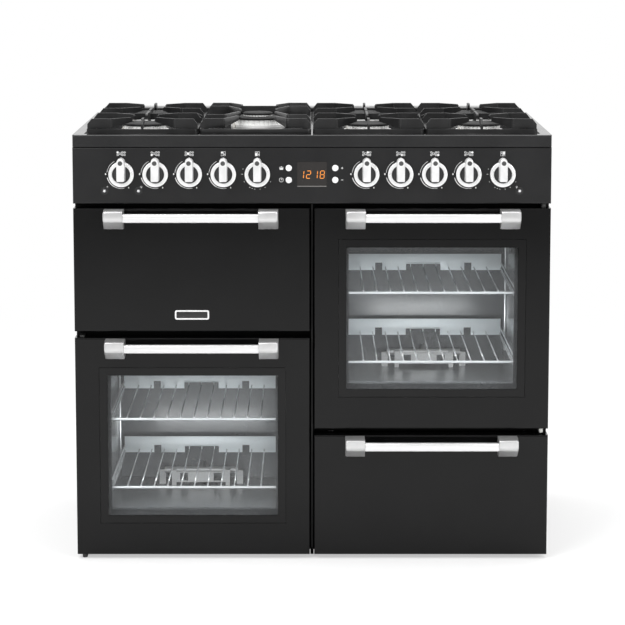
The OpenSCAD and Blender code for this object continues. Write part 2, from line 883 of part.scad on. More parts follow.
module knob(i) {
    grip_r = 3;
    grip_top = grip_head + grip_w / 2;
    translate([knobs_x[i], face_y, knob_height]) {
        color(bright) difference() {
            union() {
                rotate([90, 0, 0]) rotate_extrude() polygon([[0, knob_stand], [knob_r - 1, knob_stand],
                    [knob_r, 2], [knob_r, ring_y - 3], [knob_r - 2, ring_y - 0.7], [knob_r - 4, ring_y],
                    [knob_in_r + 1, ring_y - 0.5], [knob_in_r, disc_y], [0, disc_y]]);
                intersection() {
                    upright(-knob_d, knob_d - disc_y + 1) grip_outline();
                    along_x(-grip_w / 2, grip_w) translate([-knob_d, -grip_low])
                        front_rounded(knob_d, grip_low + grip_top, grip_r);
                }
            }
            translate([0, 0, grip_head]) rod_y(dot_r, -knob_d - 1, -knob_d + 0.6);
            rod_y(spindle_r + pin_clear, -spindle_in, 0);
        }
        color(steel) rod_y(spindle_r, -spindle_in + pin_clear, panel_t + spindle_depth);
    }
}

// Taps behind the knobs, on one gas rail, with a pipe to the inlet at the back.
module gas_rail() {
    pipe_r = 6;
    elbow = manifold_r + 3;
    tap_y0 = face_y + panel_t;
    color(steel) difference() {
        union() {
            for (x = knobs_x) translate([x, 0, knob_height]) {
                rod_y(tap_nut_r, tap_y0, tap_y0 + tap_nut_t);
                rod_y(tap_r, tap_y0 + 1, manifold_y);
            }
            translate([0, manifold_y, knob_height])
                rod_x(manifold_r, -knob_start - 4 * knob_pitch - 16, gas_x);
            for (z = [gas_z, knob_height]) translate([gas_x, manifold_y, z])
                cube(2 * elbow, center = true);
            translate([gas_x, manifold_y, gas_z]) cylinder(r = pipe_r, h = knob_height - gas_z);
            translate([gas_x, 0, gas_z]) {
                rod_y(pipe_r, manifold_y, back_panel_y - 12);
                rod_y(gas_pin_r + 4, back_panel_y - 14, back_panel_y);
                rod_y(gas_pin_r, back_panel_y - 2, back_y - 1);
            }
        }
        for (x = knobs_x) translate([x, 0, knob_height])
            rod_y(spindle_r + pin_clear, tap_y0 - 1, tap_y0 + spindle_depth + 1);
        translate([gas_x, 0, gas_z]) rod_y(gas_pin_r - 3, back_y - 16, back_y);
    }
}

module mains_terminal() {
    gland_r = 9;
    color(black) translate([terminal_x, back_panel_y + sheet_t, terminal_z]) {
        difference() {
            union() {
                translate([0, 0, -terminal_h / 2]) mirror([0, 1, 0]) translate([0, -terminal_d, 0])
                    slab(terminal_w, terminal_h, terminal_d, 3);
                translate([0, terminal_d / 2, -terminal_h / 2 - 8]) cylinder(r = gland_r - 1, h = 10);
            }
            translate([0, terminal_d / 2, -terminal_h / 2 - 9]) cylinder(r = gland_r - 4, h = 24);
        }
    }
}

// Ovens

// A folded box, open at the front, with a flange round its mouth.
module cavity_box(w, h, d) {
    difference() {
        union() {
            box([-w / 2 - sheet_t, flange_y, -sheet_t],
                [w / 2 + sheet_t, frame_back_y + d + sheet_t, h + sheet_t]);
            box([-w / 2 - flange_w, flange_y, -flange_w], [w / 2 + flange_w, frame_y, h + flange_w]);
        }
        box([-w / 2, flange_y - 1, 0], [w / 2, frame_back_y + d, h]);
    }
}

module oven_cavity() {
    slots = 5;
    well_y = frame_back_y + sill_d;
    half = cavity_w / 2;
    color(enamel) difference() {
        union() {
            cavity_box(cavity_w, cavity_h, cavity_d);
            box([-half - sheet_t, well_y - sheet_t, -well_h - sheet_t],
                [half + sheet_t, cavity_y + sheet_t, 0]);
        }
        box([-half, well_y, -well_h], [half, cavity_y, 1]);
        translate([0, 0, feed_z - well_h]) rod_y(feed_r + 1, cavity_y - 2, cavity_y + sheet_t + 2);
        for (i = [0:slots - 1]) translate([(i - (slots - 1) / 2) * 40, 0, cavity_h - 30])
            upright(cavity_y - 1, sheet_t + 2) round_rect(26, 6, 3 - eps);
    }
}

module left_oven_cavity() {
    translate([-col_x, 0, left_floor]) oven_cavity();
}

module right_oven_cavity() {
    translate([col_x, 0, right_floor]) oven_cavity();
}

module grill_cavity() {
    ledge_y = pan_y - 6;
    color(enamel) translate([-col_x, 0, grill_bottom]) {
        difference() {
            cavity_box(grill_w, grill_h, grill_d);
            translate([0, 0, grill_h - 24]) rod_y(feed_r + 1, frame_back_y + grill_d - 2,
                frame_back_y + grill_d + sheet_t + 2);
        }
        for (s = [-1, 1]) mirror([s < 0 ? 1 : 0, 0, 0])
            box([grill_w / 2 - grill_ledge, ledge_y, grill_ledge_z - grill_ledge_t],
                [grill_w / 2 + eps, frame_back_y + grill_d + eps, grill_ledge_z]);
    }
}

// A blanket round the four walls of each oven.
module oven_insulation() {
    y0 = frame_back_y + 2;
    y1 = cavity_y - 4;
    color(wool) for (p = [[-col_x, left_floor], [col_x, right_floor]]) translate([p[0], 0, p[1]])
        difference() {
            box([-cavity_w / 2 - sheet_t - wool_t, y0, -well_h - sheet_t - wool_t],
                [cavity_w / 2 + sheet_t + wool_t, y1, cavity_h + sheet_t + wool_t]);
            box([-cavity_w / 2 - sheet_t, y0 - 1, -well_h - sheet_t],
                [cavity_w / 2 + sheet_t, y1 + 1, cavity_h + sheet_t]);
        }
}

// Side racks: two posts on the oven wall and a pair of runners at each shelf.
module side_rack() {
    wall_x = cavity_w / 2 - seat_clear - rack_r;
    front_y = shelf_y + rack_post_in;
    rear_y = shelf_y + shelf_d - rack_post_in;
    for (y = [front_y, rear_y]) translate([wall_x, y, rack_low])
        cylinder(r = rack_r, h = cavity_h - 2 * rack_low);
    for (z = rack_levels, dz = [0, 1]) translate([wall_x - rack_in + rack_r, 0,
        z - rail_r - seat_clear - rack_r + dz * (rack_gap + 2 * rack_r)]) {
        rod_y(rack_r, shelf_y + 6, shelf_y + shelf_d - 6);
        for (y = [front_y, rear_y]) translate([0, y, 0]) rod_x(rack_r - 0.4, 0, rack_in - rack_r);
    }
}

module oven_side_racks() {
    color(bright) for (p = [[-col_x, left_floor], [col_x, right_floor]], s = [0, 1])
        translate([p[0], 0, p[1]]) mirror([s, 0, 0]) side_rack();
}

// A wire shelf that lies on the runners. Its wires end at a plate along its back edge.
module wire_shelf() {
    half = shelf_w / 2 - rail_r;
    count = 2 * floor((half - 8) / wire_pitch) + 1;
    wire_z = rail_r + wire_r - 1;
    back = shelf_y + shelf_d;
    for (s = [-1, 1]) translate([s * half, 0, 0]) rod_y(rail_r, shelf_y, back - seat_clear);
    translate([0, shelf_y, 0]) rod_x(rail_r, -half, half);
    for (x = [-half, half]) translate([x, shelf_y, 0]) sphere(r = rail_r);
    for (i = [0:count - 1]) translate([(i - (count - 1) / 2) * wire_pitch, 0, wire_z])
        rod_y(wire_r, shelf_y - 1, back - seat_clear);
    translate([0, back, 0]) shelf_guard(half);
}

// The plate at the back of a shelf, notched from below, and a stop across its wide notch.
module shelf_guard(half) {
    wide_notch = 78;
    small_notch = 16;
    notch_x = 101;
    notch_h = 14;
    guard_t = 1.6;
    stop_r = 1.4;
    bar_r = 1;
    stop_z = notch_h - 2;
    low = -rail_r;
    difference() {
        upright(0, guard_t) translate([-half, low]) square([2 * half, guard_h - low]);
        box([-wide_notch / 2, -1, low - 1], [wide_notch / 2, 3, notch_h]);
        for (s = [-1, 1]) box([s * notch_x - small_notch / 2, -1, low - 1],
            [s * notch_x + small_notch / 2, 3, notch_h]);
    }
    translate([0, guard_t + stop_r - 0.4, stop_z]) rod_x(stop_r, -wide_notch / 2 - 4, wide_notch / 2 + 4);
    for (i = [-1:1]) translate([i * wire_pitch, guard_t / 2 + bar_r, 0]) cylinder(r = bar_r, h = stop_z);
}

module oven_shelves() {
    color(bright) for (p = [[-col_x, left_floor], [col_x, right_floor]], z = rack_levels)
        translate([p[0], 0, p[1] + z]) wire_shelf();
}

// A tube burner across the back of the oven floor and the bracket in front of it.
module oven_burner() {
    y = cavity_y - tube_in;
    plate_y = frame_back_y + bracket_plate_in;
    plate_t = 2;
    leg_x = (bracket_plate_w - bracket_leg_w) / 2;
    leg_h = 8;
    translate([0, y, feed_z]) rod_x(tube_r, -tube_l / 2, tube_l / 2);
    translate([0, 0, feed_z]) rod_y(feed_r, y, cavity_y + feed_out);
    for (s = [-1, 1]) translate([s * tube_leg_x, y, 0])
        box([-tube_leg_w / 2, -tube_leg_t / 2, 0], [tube_leg_w / 2, tube_leg_t / 2, feed_z]);
    translate([0, plate_y, 0]) difference() {
        box([-bracket_plate_w / 2, 0, bracket_plate_z],
            [bracket_plate_w / 2, plate_t, bracket_plate_z + bracket_plate_h]);
        for (s = [-1, 1]) translate([s * bracket_window_x, 0, bracket_plate_z + bracket_plate_h / 2])
            upright(-1, plate_t + 2) square(bracket_window, center = true);
    }
    for (s = [-1, 1]) translate([s * leg_x, 0, 0]) {
        box([-bracket_leg_w / 2, plate_y, 0], [bracket_leg_w / 2, plate_y + plate_t, bracket_plate_z + eps]);
        box([-bracket_leg_w / 2, plate_y, feed_z - leg_h / 2],
            [bracket_leg_w / 2, y, feed_z + leg_h / 2]);
    }
}

module oven_burners() {
    color(steel) for (p = [[-col_x, left_floor], [col_x, right_floor]])
        translate([p[0], 0, p[1] - well_h]) oven_burner();
}

module grill_burner() {
    half = grill_tray_w / 2;
    wall = grill_tray_wall;
    h = grill_tray_h;
    y0 = frame_back_y + grill_tray_in;
    y1 = y0 + grill_tray_d;
    bar_h = 5;
    bar_low = 2;
    color(steel) translate([-col_x, 0, grill_bottom + grill_h]) {
        difference() {
            box([-half, y0, -h], [half, y1, 0]);
            box([wall - half, y0 + wall, -h - 1], [half - wall, y1 - wall, grill_tray_depth - h]);
        }
        for (i = [0:grill_bars - 1]) translate([0, y0 + 2 * wall + i * grill_bar_pitch, bar_low - h])
            box([wall / 2 - half, 0, 0], [half - wall / 2, grill_bar_t, bar_h]);
        translate([0, 0, -grill_feed_drop]) rod_y(feed_r, y1 - wall / 2, frame_back_y + grill_d + feed_out);
        box([1 - feed_r, y1 - wall / 2, -grill_feed_drop], [feed_r - 1, y1 + wall, bar_h - h]);
    }
}

module grill_pan() {
    wall = 1.2;
    lip = 6;
    z0 = grill_ledge_z + seat_clear - pan_h + wall;
    w_in = grill_w - 2 * (grill_ledge + 4);
    color(enamel) translate([-col_x, pan_y, grill_bottom + z0]) {
        difference() {
            union() {
                box([-w_in / 2, 0, 0], [w_in / 2, pan_d, pan_h]);
                box([-pan_w / 2, 0, pan_h - wall], [pan_w / 2, pan_d, pan_h]);
            }
            box([-w_in / 2 + wall, lip, wall], [w_in / 2 - wall, pan_d - lip, pan_h + 1]);
            box([-w_in / 2 + wall, wall, wall], [w_in / 2 - wall, pan_d - wall, pan_h - wall]);
        }
    }
}

module seal_loop(w, h) {
    in = 5;
    upright(door_back_y + seat_clear, seal_t - seat_clear) difference() {
        round_rect(w + 2 * (in + seal_w), h + 2 * (in + seal_w), in + seal_w);
        round_rect(w + 2 * in, h + 2 * in, in);
    }
}

module oven_seals() {
    color(dark) {
        translate([-col_x, 0, left_floor + cavity_h / 2]) seal_loop(cavity_w, cavity_h);
        translate([col_x, 0, right_floor + cavity_h / 2]) seal_loop(cavity_w, cavity_h);
        translate([-col_x, 0, grill_bottom + grill_h / 2]) seal_loop(grill_w, grill_h);
    }
}

// Hinge brackets on the frame: a tongue with a pin for each end of an oven door, and
// an arm with a cross pin for each end of the grill door.
module tongue(z0, z1) {
    nose_y = hinge_y - bracket_nose;
    translate([0, 0, z0]) linear_extrude(z1 - z0) {
        translate([hinge_x - bracket_w / 2, hinge_y]) square([bracket_w, frame_y - hinge_y]);
        translate([hinge_x, nose_y + bracket_w / 2]) circle(bracket_w / 2);
        translate([hinge_x - bracket_w / 2, nose_y + bracket_w / 2])
            square([bracket_w, hinge_y - nose_y - bracket_w / 2 + eps]);
    }
}

module hinge_pin(z0, z1) {
    translate([hinge_x, hinge_y, z0]) cylinder(r = hinge_pin_r, h = z1 - z0);
}

module door_hinge_brackets() {
    color(steel) {
        // Right oven door: below it and above it.
        tongue(right_z - row_gap + 4, right_z - bracket_clear);
        hinge_pin(right_z - bracket_clear - 1, right_z + hinge_pin_l);
        tongue(doors_top + bracket_clear, doors_top + panel_gap - bracket_clear);
        hinge_pin(doors_top - hinge_pin_l, doors_top + bracket_clear + 1);
        mirror([1, 0, 0]) {
            // Left oven door: the lower tongue is carried under the base rail.
            tongue(foot_h - bracket_clear - low_bracket_t, foot_h - bracket_clear);
            box([hinge_x - bracket_w / 2, frame_y - eps, foot_h - bracket_clear - low_bracket_t],
                [hinge_x + bracket_w / 2, frame_back_y + 30, foot_h]);
            hinge_pin(foot_h - bracket_clear - 1, foot_h + hinge_pin_l);
            tongue(left_door_top + bracket_clear, left_door_top + bracket_clear + bracket_t);
            hinge_pin(left_door_top - hinge_pin_l, left_door_top + bracket_clear + 1);
        }
        for (s = [-1, 1]) translate([-col_x + s * (door_w / 2 - grill_arm_x), 0, grill_pin_z]) {
            along_x(-arm_w / 2, arm_w) {
                circle_at(grill_pin_y, arm_h / 2);
                translate([grill_pin_y, -arm_h / 2]) square([frame_y - grill_pin_y, arm_h]);
            }
            translate([0, grill_pin_y, 0]) rod_x(grill_pin_r, -grill_pin_l / 2, grill_pin_l / 2);
        }
    }
}

module circle_at(y, r) {
    translate([y, 0]) circle(r);
}

// Doors, drawn with the bottom of the front face at the origin

module oven_door_panel(h) {
    depth = door_t - liner_t - seat_clear;
    color(black) difference() {
        union() {
            tray_front(door_w, h, door_t, door_edge_r, door_skin_t, door_wall);
            translate([0, 0, window_z])
                upright(door_skin_t - eps, glass_t + glass_seat + seat_clear - door_skin_t)
                    square([glass_w + 2 * seat_edge, glass_h + 2 * seat_edge], center = true);
            for (z = [door_wall - eps, h - hinge_block_h])
                box([door_w / 2 - hinge_block_w, door_skin_t - eps, z],
                    [door_w / 2 - door_wall + eps, depth, z + hinge_block_h - door_wall + eps]);
        }
        translate([0, 0, window_z]) {
            upright(-1, 1 + glass_t + seat_clear)
                square([glass_w + 2 * glass_clear, glass_h + 2 * glass_clear], center = true);
            upright(-1, door_t) square([window_w, window_h], center = true);
        }
        for (z = [-1, h - hinge_pin_l - hinge_hole_extra])
            translate([door_w / 2 - hinge_in, hinge_depth, z])
                cylinder(r = hinge_pin_r + pin_clear, h = hinge_pin_l + hinge_hole_extra + 1);
    }
}

// The outer pane is let into the face of the door, the inner one lies on the inner panel.
module oven_door_glass() {
    color([0.2, 0.22, 0.24, 0.35]) translate([0, 0, window_z]) {
        upright(seat_clear, glass_t) square([glass_w, glass_h], center = true);
        upright(door_t - liner_t - glass_t, glass_t)
            square([window_w + inner_border, window_h + inner_border], center = true);
    }
}

module liner_plate(w, h) {
    vent_l = 30;
    difference() {
        box([door_wall + seat_clear - w / 2, door_t - liner_t, door_wall + seat_clear],
            [w / 2 - door_wall - seat_clear, door_t, h - door_wall - seat_clear]);
        for (i = [-3:3]) translate([i * 48, 0, h - 18]) upright(door_t - liner_t - 1, liner_t + 2)
            round_rect(vent_l, 5, 2.5 - eps);
    }
}

module oven_door_liner(h) {
    corner_r = 3;
    color(enamel) difference() {
        liner_plate(door_w, h);
        translate([0, 0, window_z]) upright(door_t - liner_t - 1, liner_t + 2)
            round_rect(window_w - inner_border, window_h - inner_border, corner_r);
    }
}

module pivot_slot(x) {
    box([x - arm_w / 2 - arm_clear, grill_pivot_y - arm_h / 2 - arm_clear, -1],
        [x + arm_w / 2 + arm_clear, door_t + 1, grill_pivot_z + arm_h / 2 + arm_clear]);
}

module grill_door_panel() {
    depth = door_t - liner_t - seat_clear;
    color(black) translate([-col_x, face_y, grill_z]) difference() {
        union() {
            tray_front(door_w, grill_door_h, door_t, door_edge_r, door_skin_t, door_wall);
            for (s = [-1, 1]) translate([s * (door_w / 2 - grill_arm_x), 0, 0])
                box([-pivot_block_w / 2, door_skin_t - eps, door_wall - eps],
                    [pivot_block_w / 2, depth, pivot_block_h]);
        }
        for (s = [-1, 1]) translate([s * (door_w / 2 - grill_arm_x), 0, 0]) {
            pivot_slot(0);
            translate([0, grill_pivot_y, grill_pivot_z])
                rod_x(grill_pin_r + pin_clear, -grill_pin_l / 2 - seat_clear, grill_pin_l / 2 + seat_clear);
        }
    }
}

module grill_door_liner() {
    color(enamel) translate([-col_x, face_y, grill_z]) difference() {
        liner_plate(door_w, grill_door_h);
        for (s = [-1, 1]) pivot_slot(s * (door_w / 2 - grill_arm_x));
    }
}

// A handle, drawn with the middle of its bar over the origin of a door face.
module handle() {
    bar_l = handle_l - 2 * cap_w - 2 * seat_clear;
    bar_y = cap_proud - handle_reach;
    color(bright) {
        along_x(-bar_l / 2, bar_l) translate([bar_y + bar_t / 2, 0]) round_rect(bar_t, bar_h, 4);
        handle_cap();
        mirror([1, 0, 0]) handle_cap();
    }
}

module handle_cap() {
    x0 = handle_l / 2 - cap_w;
    nose = 10;
    end_r = 13;
    slope_y = 22;
    intersection() {
        along_x(x0, cap_w) {
            polygon([[0, bar_top], [nose - handle_reach, bar_top], [nose - handle_reach, -5],
                [-slope_y, -cap_drop], [0, -cap_drop]]);
            polygon([[nose - handle_reach, bar_top - nose], [-handle_reach, bar_top - nose],
                [-handle_reach, -5], [-slope_y, -cap_drop]]);
            translate([nose - handle_reach, bar_top - nose]) circle(nose);
        }
        translate([0, 0, -cap_drop - 1]) linear_extrude(cap_drop + bar_top + 2) {
            translate([x0, -handle_reach]) square([cap_w - end_r, handle_reach]);
            translate([x0, end_r - handle_reach]) square([cap_w, handle_reach - end_r]);
            translate([x0 + cap_w - end_r, end_r - handle_reach]) circle(end_r);
        }
    }
}

module door_at(x, z) {
    translate([x, face_y, z]) children();
}

module handle_at(x, top_z) {
    translate([x, face_y, top_z - handle_drop]) handle();
}

module left_door_panel() {
    door_at(-col_x, foot_h) mirror([1, 0, 0]) oven_door_panel(left_door_h);
}

module right_door_panel() {
    door_at(col_x, right_z) oven_door_panel(right_door_h);
}

// Drawer

module drawer_front() {
    color(black) door_at(col_x, foot_h)
        tray_front(door_w, drawer_h, door_t, door_edge_r, door_skin_t, door_wall);
}

// An open sheet box behind the front. Its lips lie on the runners.
module drawer_box() {
    w = drawer_w;
    z1 = drawer_box_z + drawer_box_h;
    color(steel) {
        translate([col_x, 0, 0]) difference() {
            union() {
                box([-w / 2, door_back_y, drawer_box_z], [w / 2, door_back_y + drawer_d, z1]);
                box([-w / 2 - drawer_lip, door_back_y, z1 - drawer_wall],
                    [w / 2 + drawer_lip, door_back_y + drawer_d, z1]);
                for (s = [0, 1]) mirror([s, 0, 0])
                    box([w / 2 + stop_t, stop_y + drawer_travel, z1 - eps],
                        [w / 2 + drawer_lip - 2, stop_y + drawer_travel + stop_t, z1 + stop_h]);
            }
            box([drawer_wall - w / 2, door_back_y + drawer_wall, drawer_box_z + drawer_wall],
                [w / 2 - drawer_wall, door_back_y + drawer_d - drawer_wall, z1 + 1]);
        }
        // The plate that closes the hollow of the front and carries the box.
        door_at(col_x, foot_h)
            box([door_wall + seat_clear - door_w / 2, door_t - liner_t, door_wall + seat_clear],
                [door_w / 2 - door_wall - seat_clear, door_t, drawer_h - door_wall - seat_clear]);
    }
}

module drawer_runners() {
    z1 = drawer_box_z + drawer_box_h - drawer_wall - seat_clear;
    in_x = drawer_w / 2 + runner_clear;
    out_x = drawer_w / 2 + drawer_lip + runner_clear;
    rear_y = back_panel_y - sheet_t - post_w - 1;
    tab = 5;
    color(steel) translate([col_x, 0, 0]) for (s = [0, 1]) mirror([s, 0, 0]) {
        box([in_x, frame_back_y, z1 - runner_t], [out_x + eps, rear_y, z1]);
        box([out_x, frame_back_y, foot_h + rail_h + 1], [out_x + runner_t, rear_y, z1 + 8]);
        box([out_x + eps, frame_back_y, foot_h + rail_h + 1],
            [out_x + runner_t + tab, frame_back_y + 2, z1 + 8]);
        box([in_x + stop_t, stop_y - stop_t - stop_gap, z1 + drawer_wall + seat_clear + stop_gap],
            [out_x + eps, stop_y - stop_gap, z1 + 8]);
    }
}

side_panel_left();
side_panel_right();
back_panel();
chassis_frame();
levelling_feet();
hob_tray();
control_panel();
timer_module();
gas_rail();
burner_crowns();
burner_caps();
spark_igniters();
left_oven_cavity();
right_oven_cavity();
grill_cavity();
oven_insulation();
oven_side_racks();
oven_shelves();
oven_burners();
grill_burner();
grill_pan();
oven_seals();
door_hinge_brackets();
drawer_runners();
mains_terminal();
grill_door_panel();
grill_door_liner();
handle_at(-col_x, doors_top);  // grill_door_handle
left_door_panel();
door_at(-col_x, foot_h) oven_door_glass();  // left_door_glass
door_at(-col_x, foot_h) oven_door_liner(left_door_h);  // left_door_liner
handle_at(-col_x, left_door_top);  // left_door_handle
right_door_panel();
door_at(col_x, right_z) oven_door_glass();  // right_door_glass
door_at(col_x, right_z) oven_door_liner(right_door_h);  // right_door_liner
handle_at(col_x, doors_top);  // right_door_handle
drawer_front();
drawer_box();
handle_at(col_x, foot_h + drawer_h);  // drawer_handle
knob(0);  // knob_1
knob(1);  // knob_2
knob(2);  // knob_3
knob(3);  // knob_4
knob(4);  // knob_5
knob(5);  // knob_6
knob(6);  // knob_7
knob(7);  // knob_8
knob(8);  // knob_9
knob(9);  // knob_10
pan_support(0);  // pan_support_1
pan_support(1);  // pan_support_2
pan_support(2);  // pan_support_3
pan_support(3);  // pan_support_4
timer_button(0);  // timer_button_1
timer_button(1);  // timer_button_2
timer_button(2);  // timer_button_3
timer_button(3);  // timer_button_4
push_button(0);  // push_button_1
push_button(1);  // push_button_2
push_button(2);  // push_button_3
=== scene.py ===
import json
import math

import bmesh
import bpy
from mathutils import Matrix, Vector

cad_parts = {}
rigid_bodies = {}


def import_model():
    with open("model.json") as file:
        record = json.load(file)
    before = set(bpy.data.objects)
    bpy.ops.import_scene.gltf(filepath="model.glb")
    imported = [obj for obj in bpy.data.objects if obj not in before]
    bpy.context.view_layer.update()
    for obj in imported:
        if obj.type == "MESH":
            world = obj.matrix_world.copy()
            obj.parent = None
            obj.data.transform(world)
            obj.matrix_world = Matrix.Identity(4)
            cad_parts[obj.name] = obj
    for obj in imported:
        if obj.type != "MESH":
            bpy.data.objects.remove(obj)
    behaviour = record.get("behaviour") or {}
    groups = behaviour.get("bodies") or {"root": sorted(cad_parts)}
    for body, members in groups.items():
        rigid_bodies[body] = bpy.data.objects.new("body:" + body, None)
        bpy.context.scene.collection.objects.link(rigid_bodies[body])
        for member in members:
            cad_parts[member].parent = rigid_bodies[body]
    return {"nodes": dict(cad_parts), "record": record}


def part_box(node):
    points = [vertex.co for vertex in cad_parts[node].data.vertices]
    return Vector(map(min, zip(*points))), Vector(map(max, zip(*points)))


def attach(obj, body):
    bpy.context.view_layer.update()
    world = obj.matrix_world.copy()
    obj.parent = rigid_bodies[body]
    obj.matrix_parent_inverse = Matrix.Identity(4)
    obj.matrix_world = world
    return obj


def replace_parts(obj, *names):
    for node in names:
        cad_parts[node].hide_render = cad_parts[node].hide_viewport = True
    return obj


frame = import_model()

mm = 0.001
nodes = frame["nodes"]
bodyOf = {node: body for body, members in frame["record"]["behaviour"]["bodies"].items()
          for node in members}
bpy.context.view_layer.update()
print("frame loaded:", len(nodes), "nodes")


# Helpers for working as by hand. Sizes and places are in mm unless a note says metres.

def clearPicks():
    if bpy.context.object and bpy.context.object.mode != "OBJECT":
        bpy.ops.object.mode_set(mode="OBJECT")
    bpy.ops.object.select_all(action="DESELECT")


def pick(*pieces):
    clearPicks()
    for piece in pieces:
        piece.select_set(True)
    bpy.context.view_layer.objects.active = pieces[0]


def named(name):
    piece = bpy.context.object
    piece.name = name
    piece.data.name = name
    bpy.ops.object.transform_apply(location=True, rotation=True, scale=True)
    return piece


def startBox(name, low, high):
    clearPicks()
    bpy.ops.mesh.primitive_cube_add(size=1, location=[(a + b) / 2 * mm for a, b in zip(low, high)])
    bpy.context.object.scale = [(b - a) * mm for a, b in zip(low, high)]
    return named(name)


def startRod(name, middle, radius, length, axis="Y", sides=48):
    turns = {"X": (0, math.pi / 2, 0), "Y": (math.pi / 2, 0, 0), "Z": (0, 0, 0)}
    clearPicks()
    bpy.ops.mesh.primitive_cylinder_add(vertices=sides, radius=radius * mm, depth=length * mm,
                                        location=[c * mm for c in middle], rotation=turns[axis])
    return named(name)


def startCard(name, width, height, x=0, z=0):      # a flat card that faces the front
    clearPicks()
    bpy.ops.mesh.primitive_plane_add(size=1, rotation=(math.pi / 2, 0, 0), location=(x * mm, 0, z * mm))
    bpy.context.object.scale = (width * mm, height * mm, 1)
    return named(name)


def startDisc(name, radius, sides=16, x=0, z=0):   # a flat disc that faces the front
    clearPicks()
    bpy.ops.mesh.primitive_circle_add(vertices=sides, radius=radius * mm, fill_type="NGON",
                                      rotation=(math.pi / 2, 0, 0), location=(x * mm, 0, z * mm))
    return named(name)


def editFaces(piece, wanted):      # edit mode, with the faces picked whose middle and normal pass
    pick(piece)
    bpy.ops.object.mode_set(mode="EDIT")
    bpy.ops.mesh.select_mode(type="FACE")
    bpy.ops.mesh.select_all(action="DESELECT")
    shape = bmesh.from_edit_mesh(piece.data)
    for face in shape.faces:
        face.select_set(wanted(face.calc_center_median() / mm, face.normal))
    bmesh.update_edit_mesh(piece.data)


def editEdges(piece, wanted):      # edit mode, with the edges picked whose two ends pass
    pick(piece)
    bpy.ops.object.mode_set(mode="EDIT")
    bpy.ops.mesh.select_mode(type="EDGE")
    bpy.ops.mesh.select_all(action="DESELECT")
    shape = bmesh.from_edit_mesh(piece.data)
    for edge in shape.edges:
        edge.select_set(wanted(edge.verts[0].co / mm, edge.verts[1].co / mm))
    bmesh.update_edit_mesh(piece.data)


def extrudeBy(x, y, z):
    bpy.ops.mesh.extrude_region_move(TRANSFORM_OT_translate={"value": (x * mm, y * mm, z * mm)})


def insetBy(width):
    bpy.ops.mesh.inset(thickness=width * mm)


def bevelBy(width, steps=3, affect="EDGES"):
    bpy.ops.mesh.bevel(offset=width * mm, segments=steps, affect=affect)


def resizeBy(x, y, z, about):
    bpy.ops.transform.resize(value=(x, y, z), center_override=[c * mm for c in about])


def moved(piece, x, y, z):
    piece.data.transform(Matrix.Translation(Vector((x, y, z)) * mm))
    return piece


def copied(piece, name, x=0, y=0, z=0):
    twin = piece.copy()
    twin.data = piece.data.copy()
    twin.name = name
    twin.data.name = name
    bpy.context.scene.collection.objects.link(twin)
    return moved(twin, x, y, z)


def joined(name, pieces):
    pick(*pieces)
    bpy.ops.object.join()
    return named(name)


def finished(piece, finish, body="cooker", angle=30):
    pick(piece)
    bpy.ops.object.shade_smooth_by_angle(angle=math.radians(angle))
    piece.data.materials.clear()
    piece.data.materials.append(finishes[finish])
    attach(piece, body)
    return piece


def modified(piece, kind, **settings):
    pick(piece)
    modifier = piece.modifiers.new(kind.lower(), kind)
    for name, value in settings.items():
        setattr(modifier, name, value)
    bpy.ops.object.modifier_apply(modifier=modifier.name)
    return piece


def boxOf(node):                   # a node's corners, in mm
    low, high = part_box(node)
    return low / mm, high / mm


# Shader groups that several finishes share

def newGroup(name, inputs, outputs):
    group = bpy.data.node_groups.new(name, "ShaderNodeTree")
    for label, kind, value in inputs:
        socket = group.interface.new_socket(name=label, in_out="INPUT", socket_type="NodeSocket" + kind)
        socket.default_value = value
    for label, kind in outputs:
        group.interface.new_socket(name=label, in_out="OUTPUT", socket_type="NodeSocket" + kind)
    return group, group.nodes.new("NodeGroupInput"), group.nodes.new("NodeGroupOutput")


def addNode(tree, kind, values=None, **settings):
    node = tree.nodes.new("ShaderNode" + kind)
    for name, value in settings.items():
        setattr(node, name, value)
    for name, value in (values or {}).items():
        node.inputs[name].default_value = value
    return node


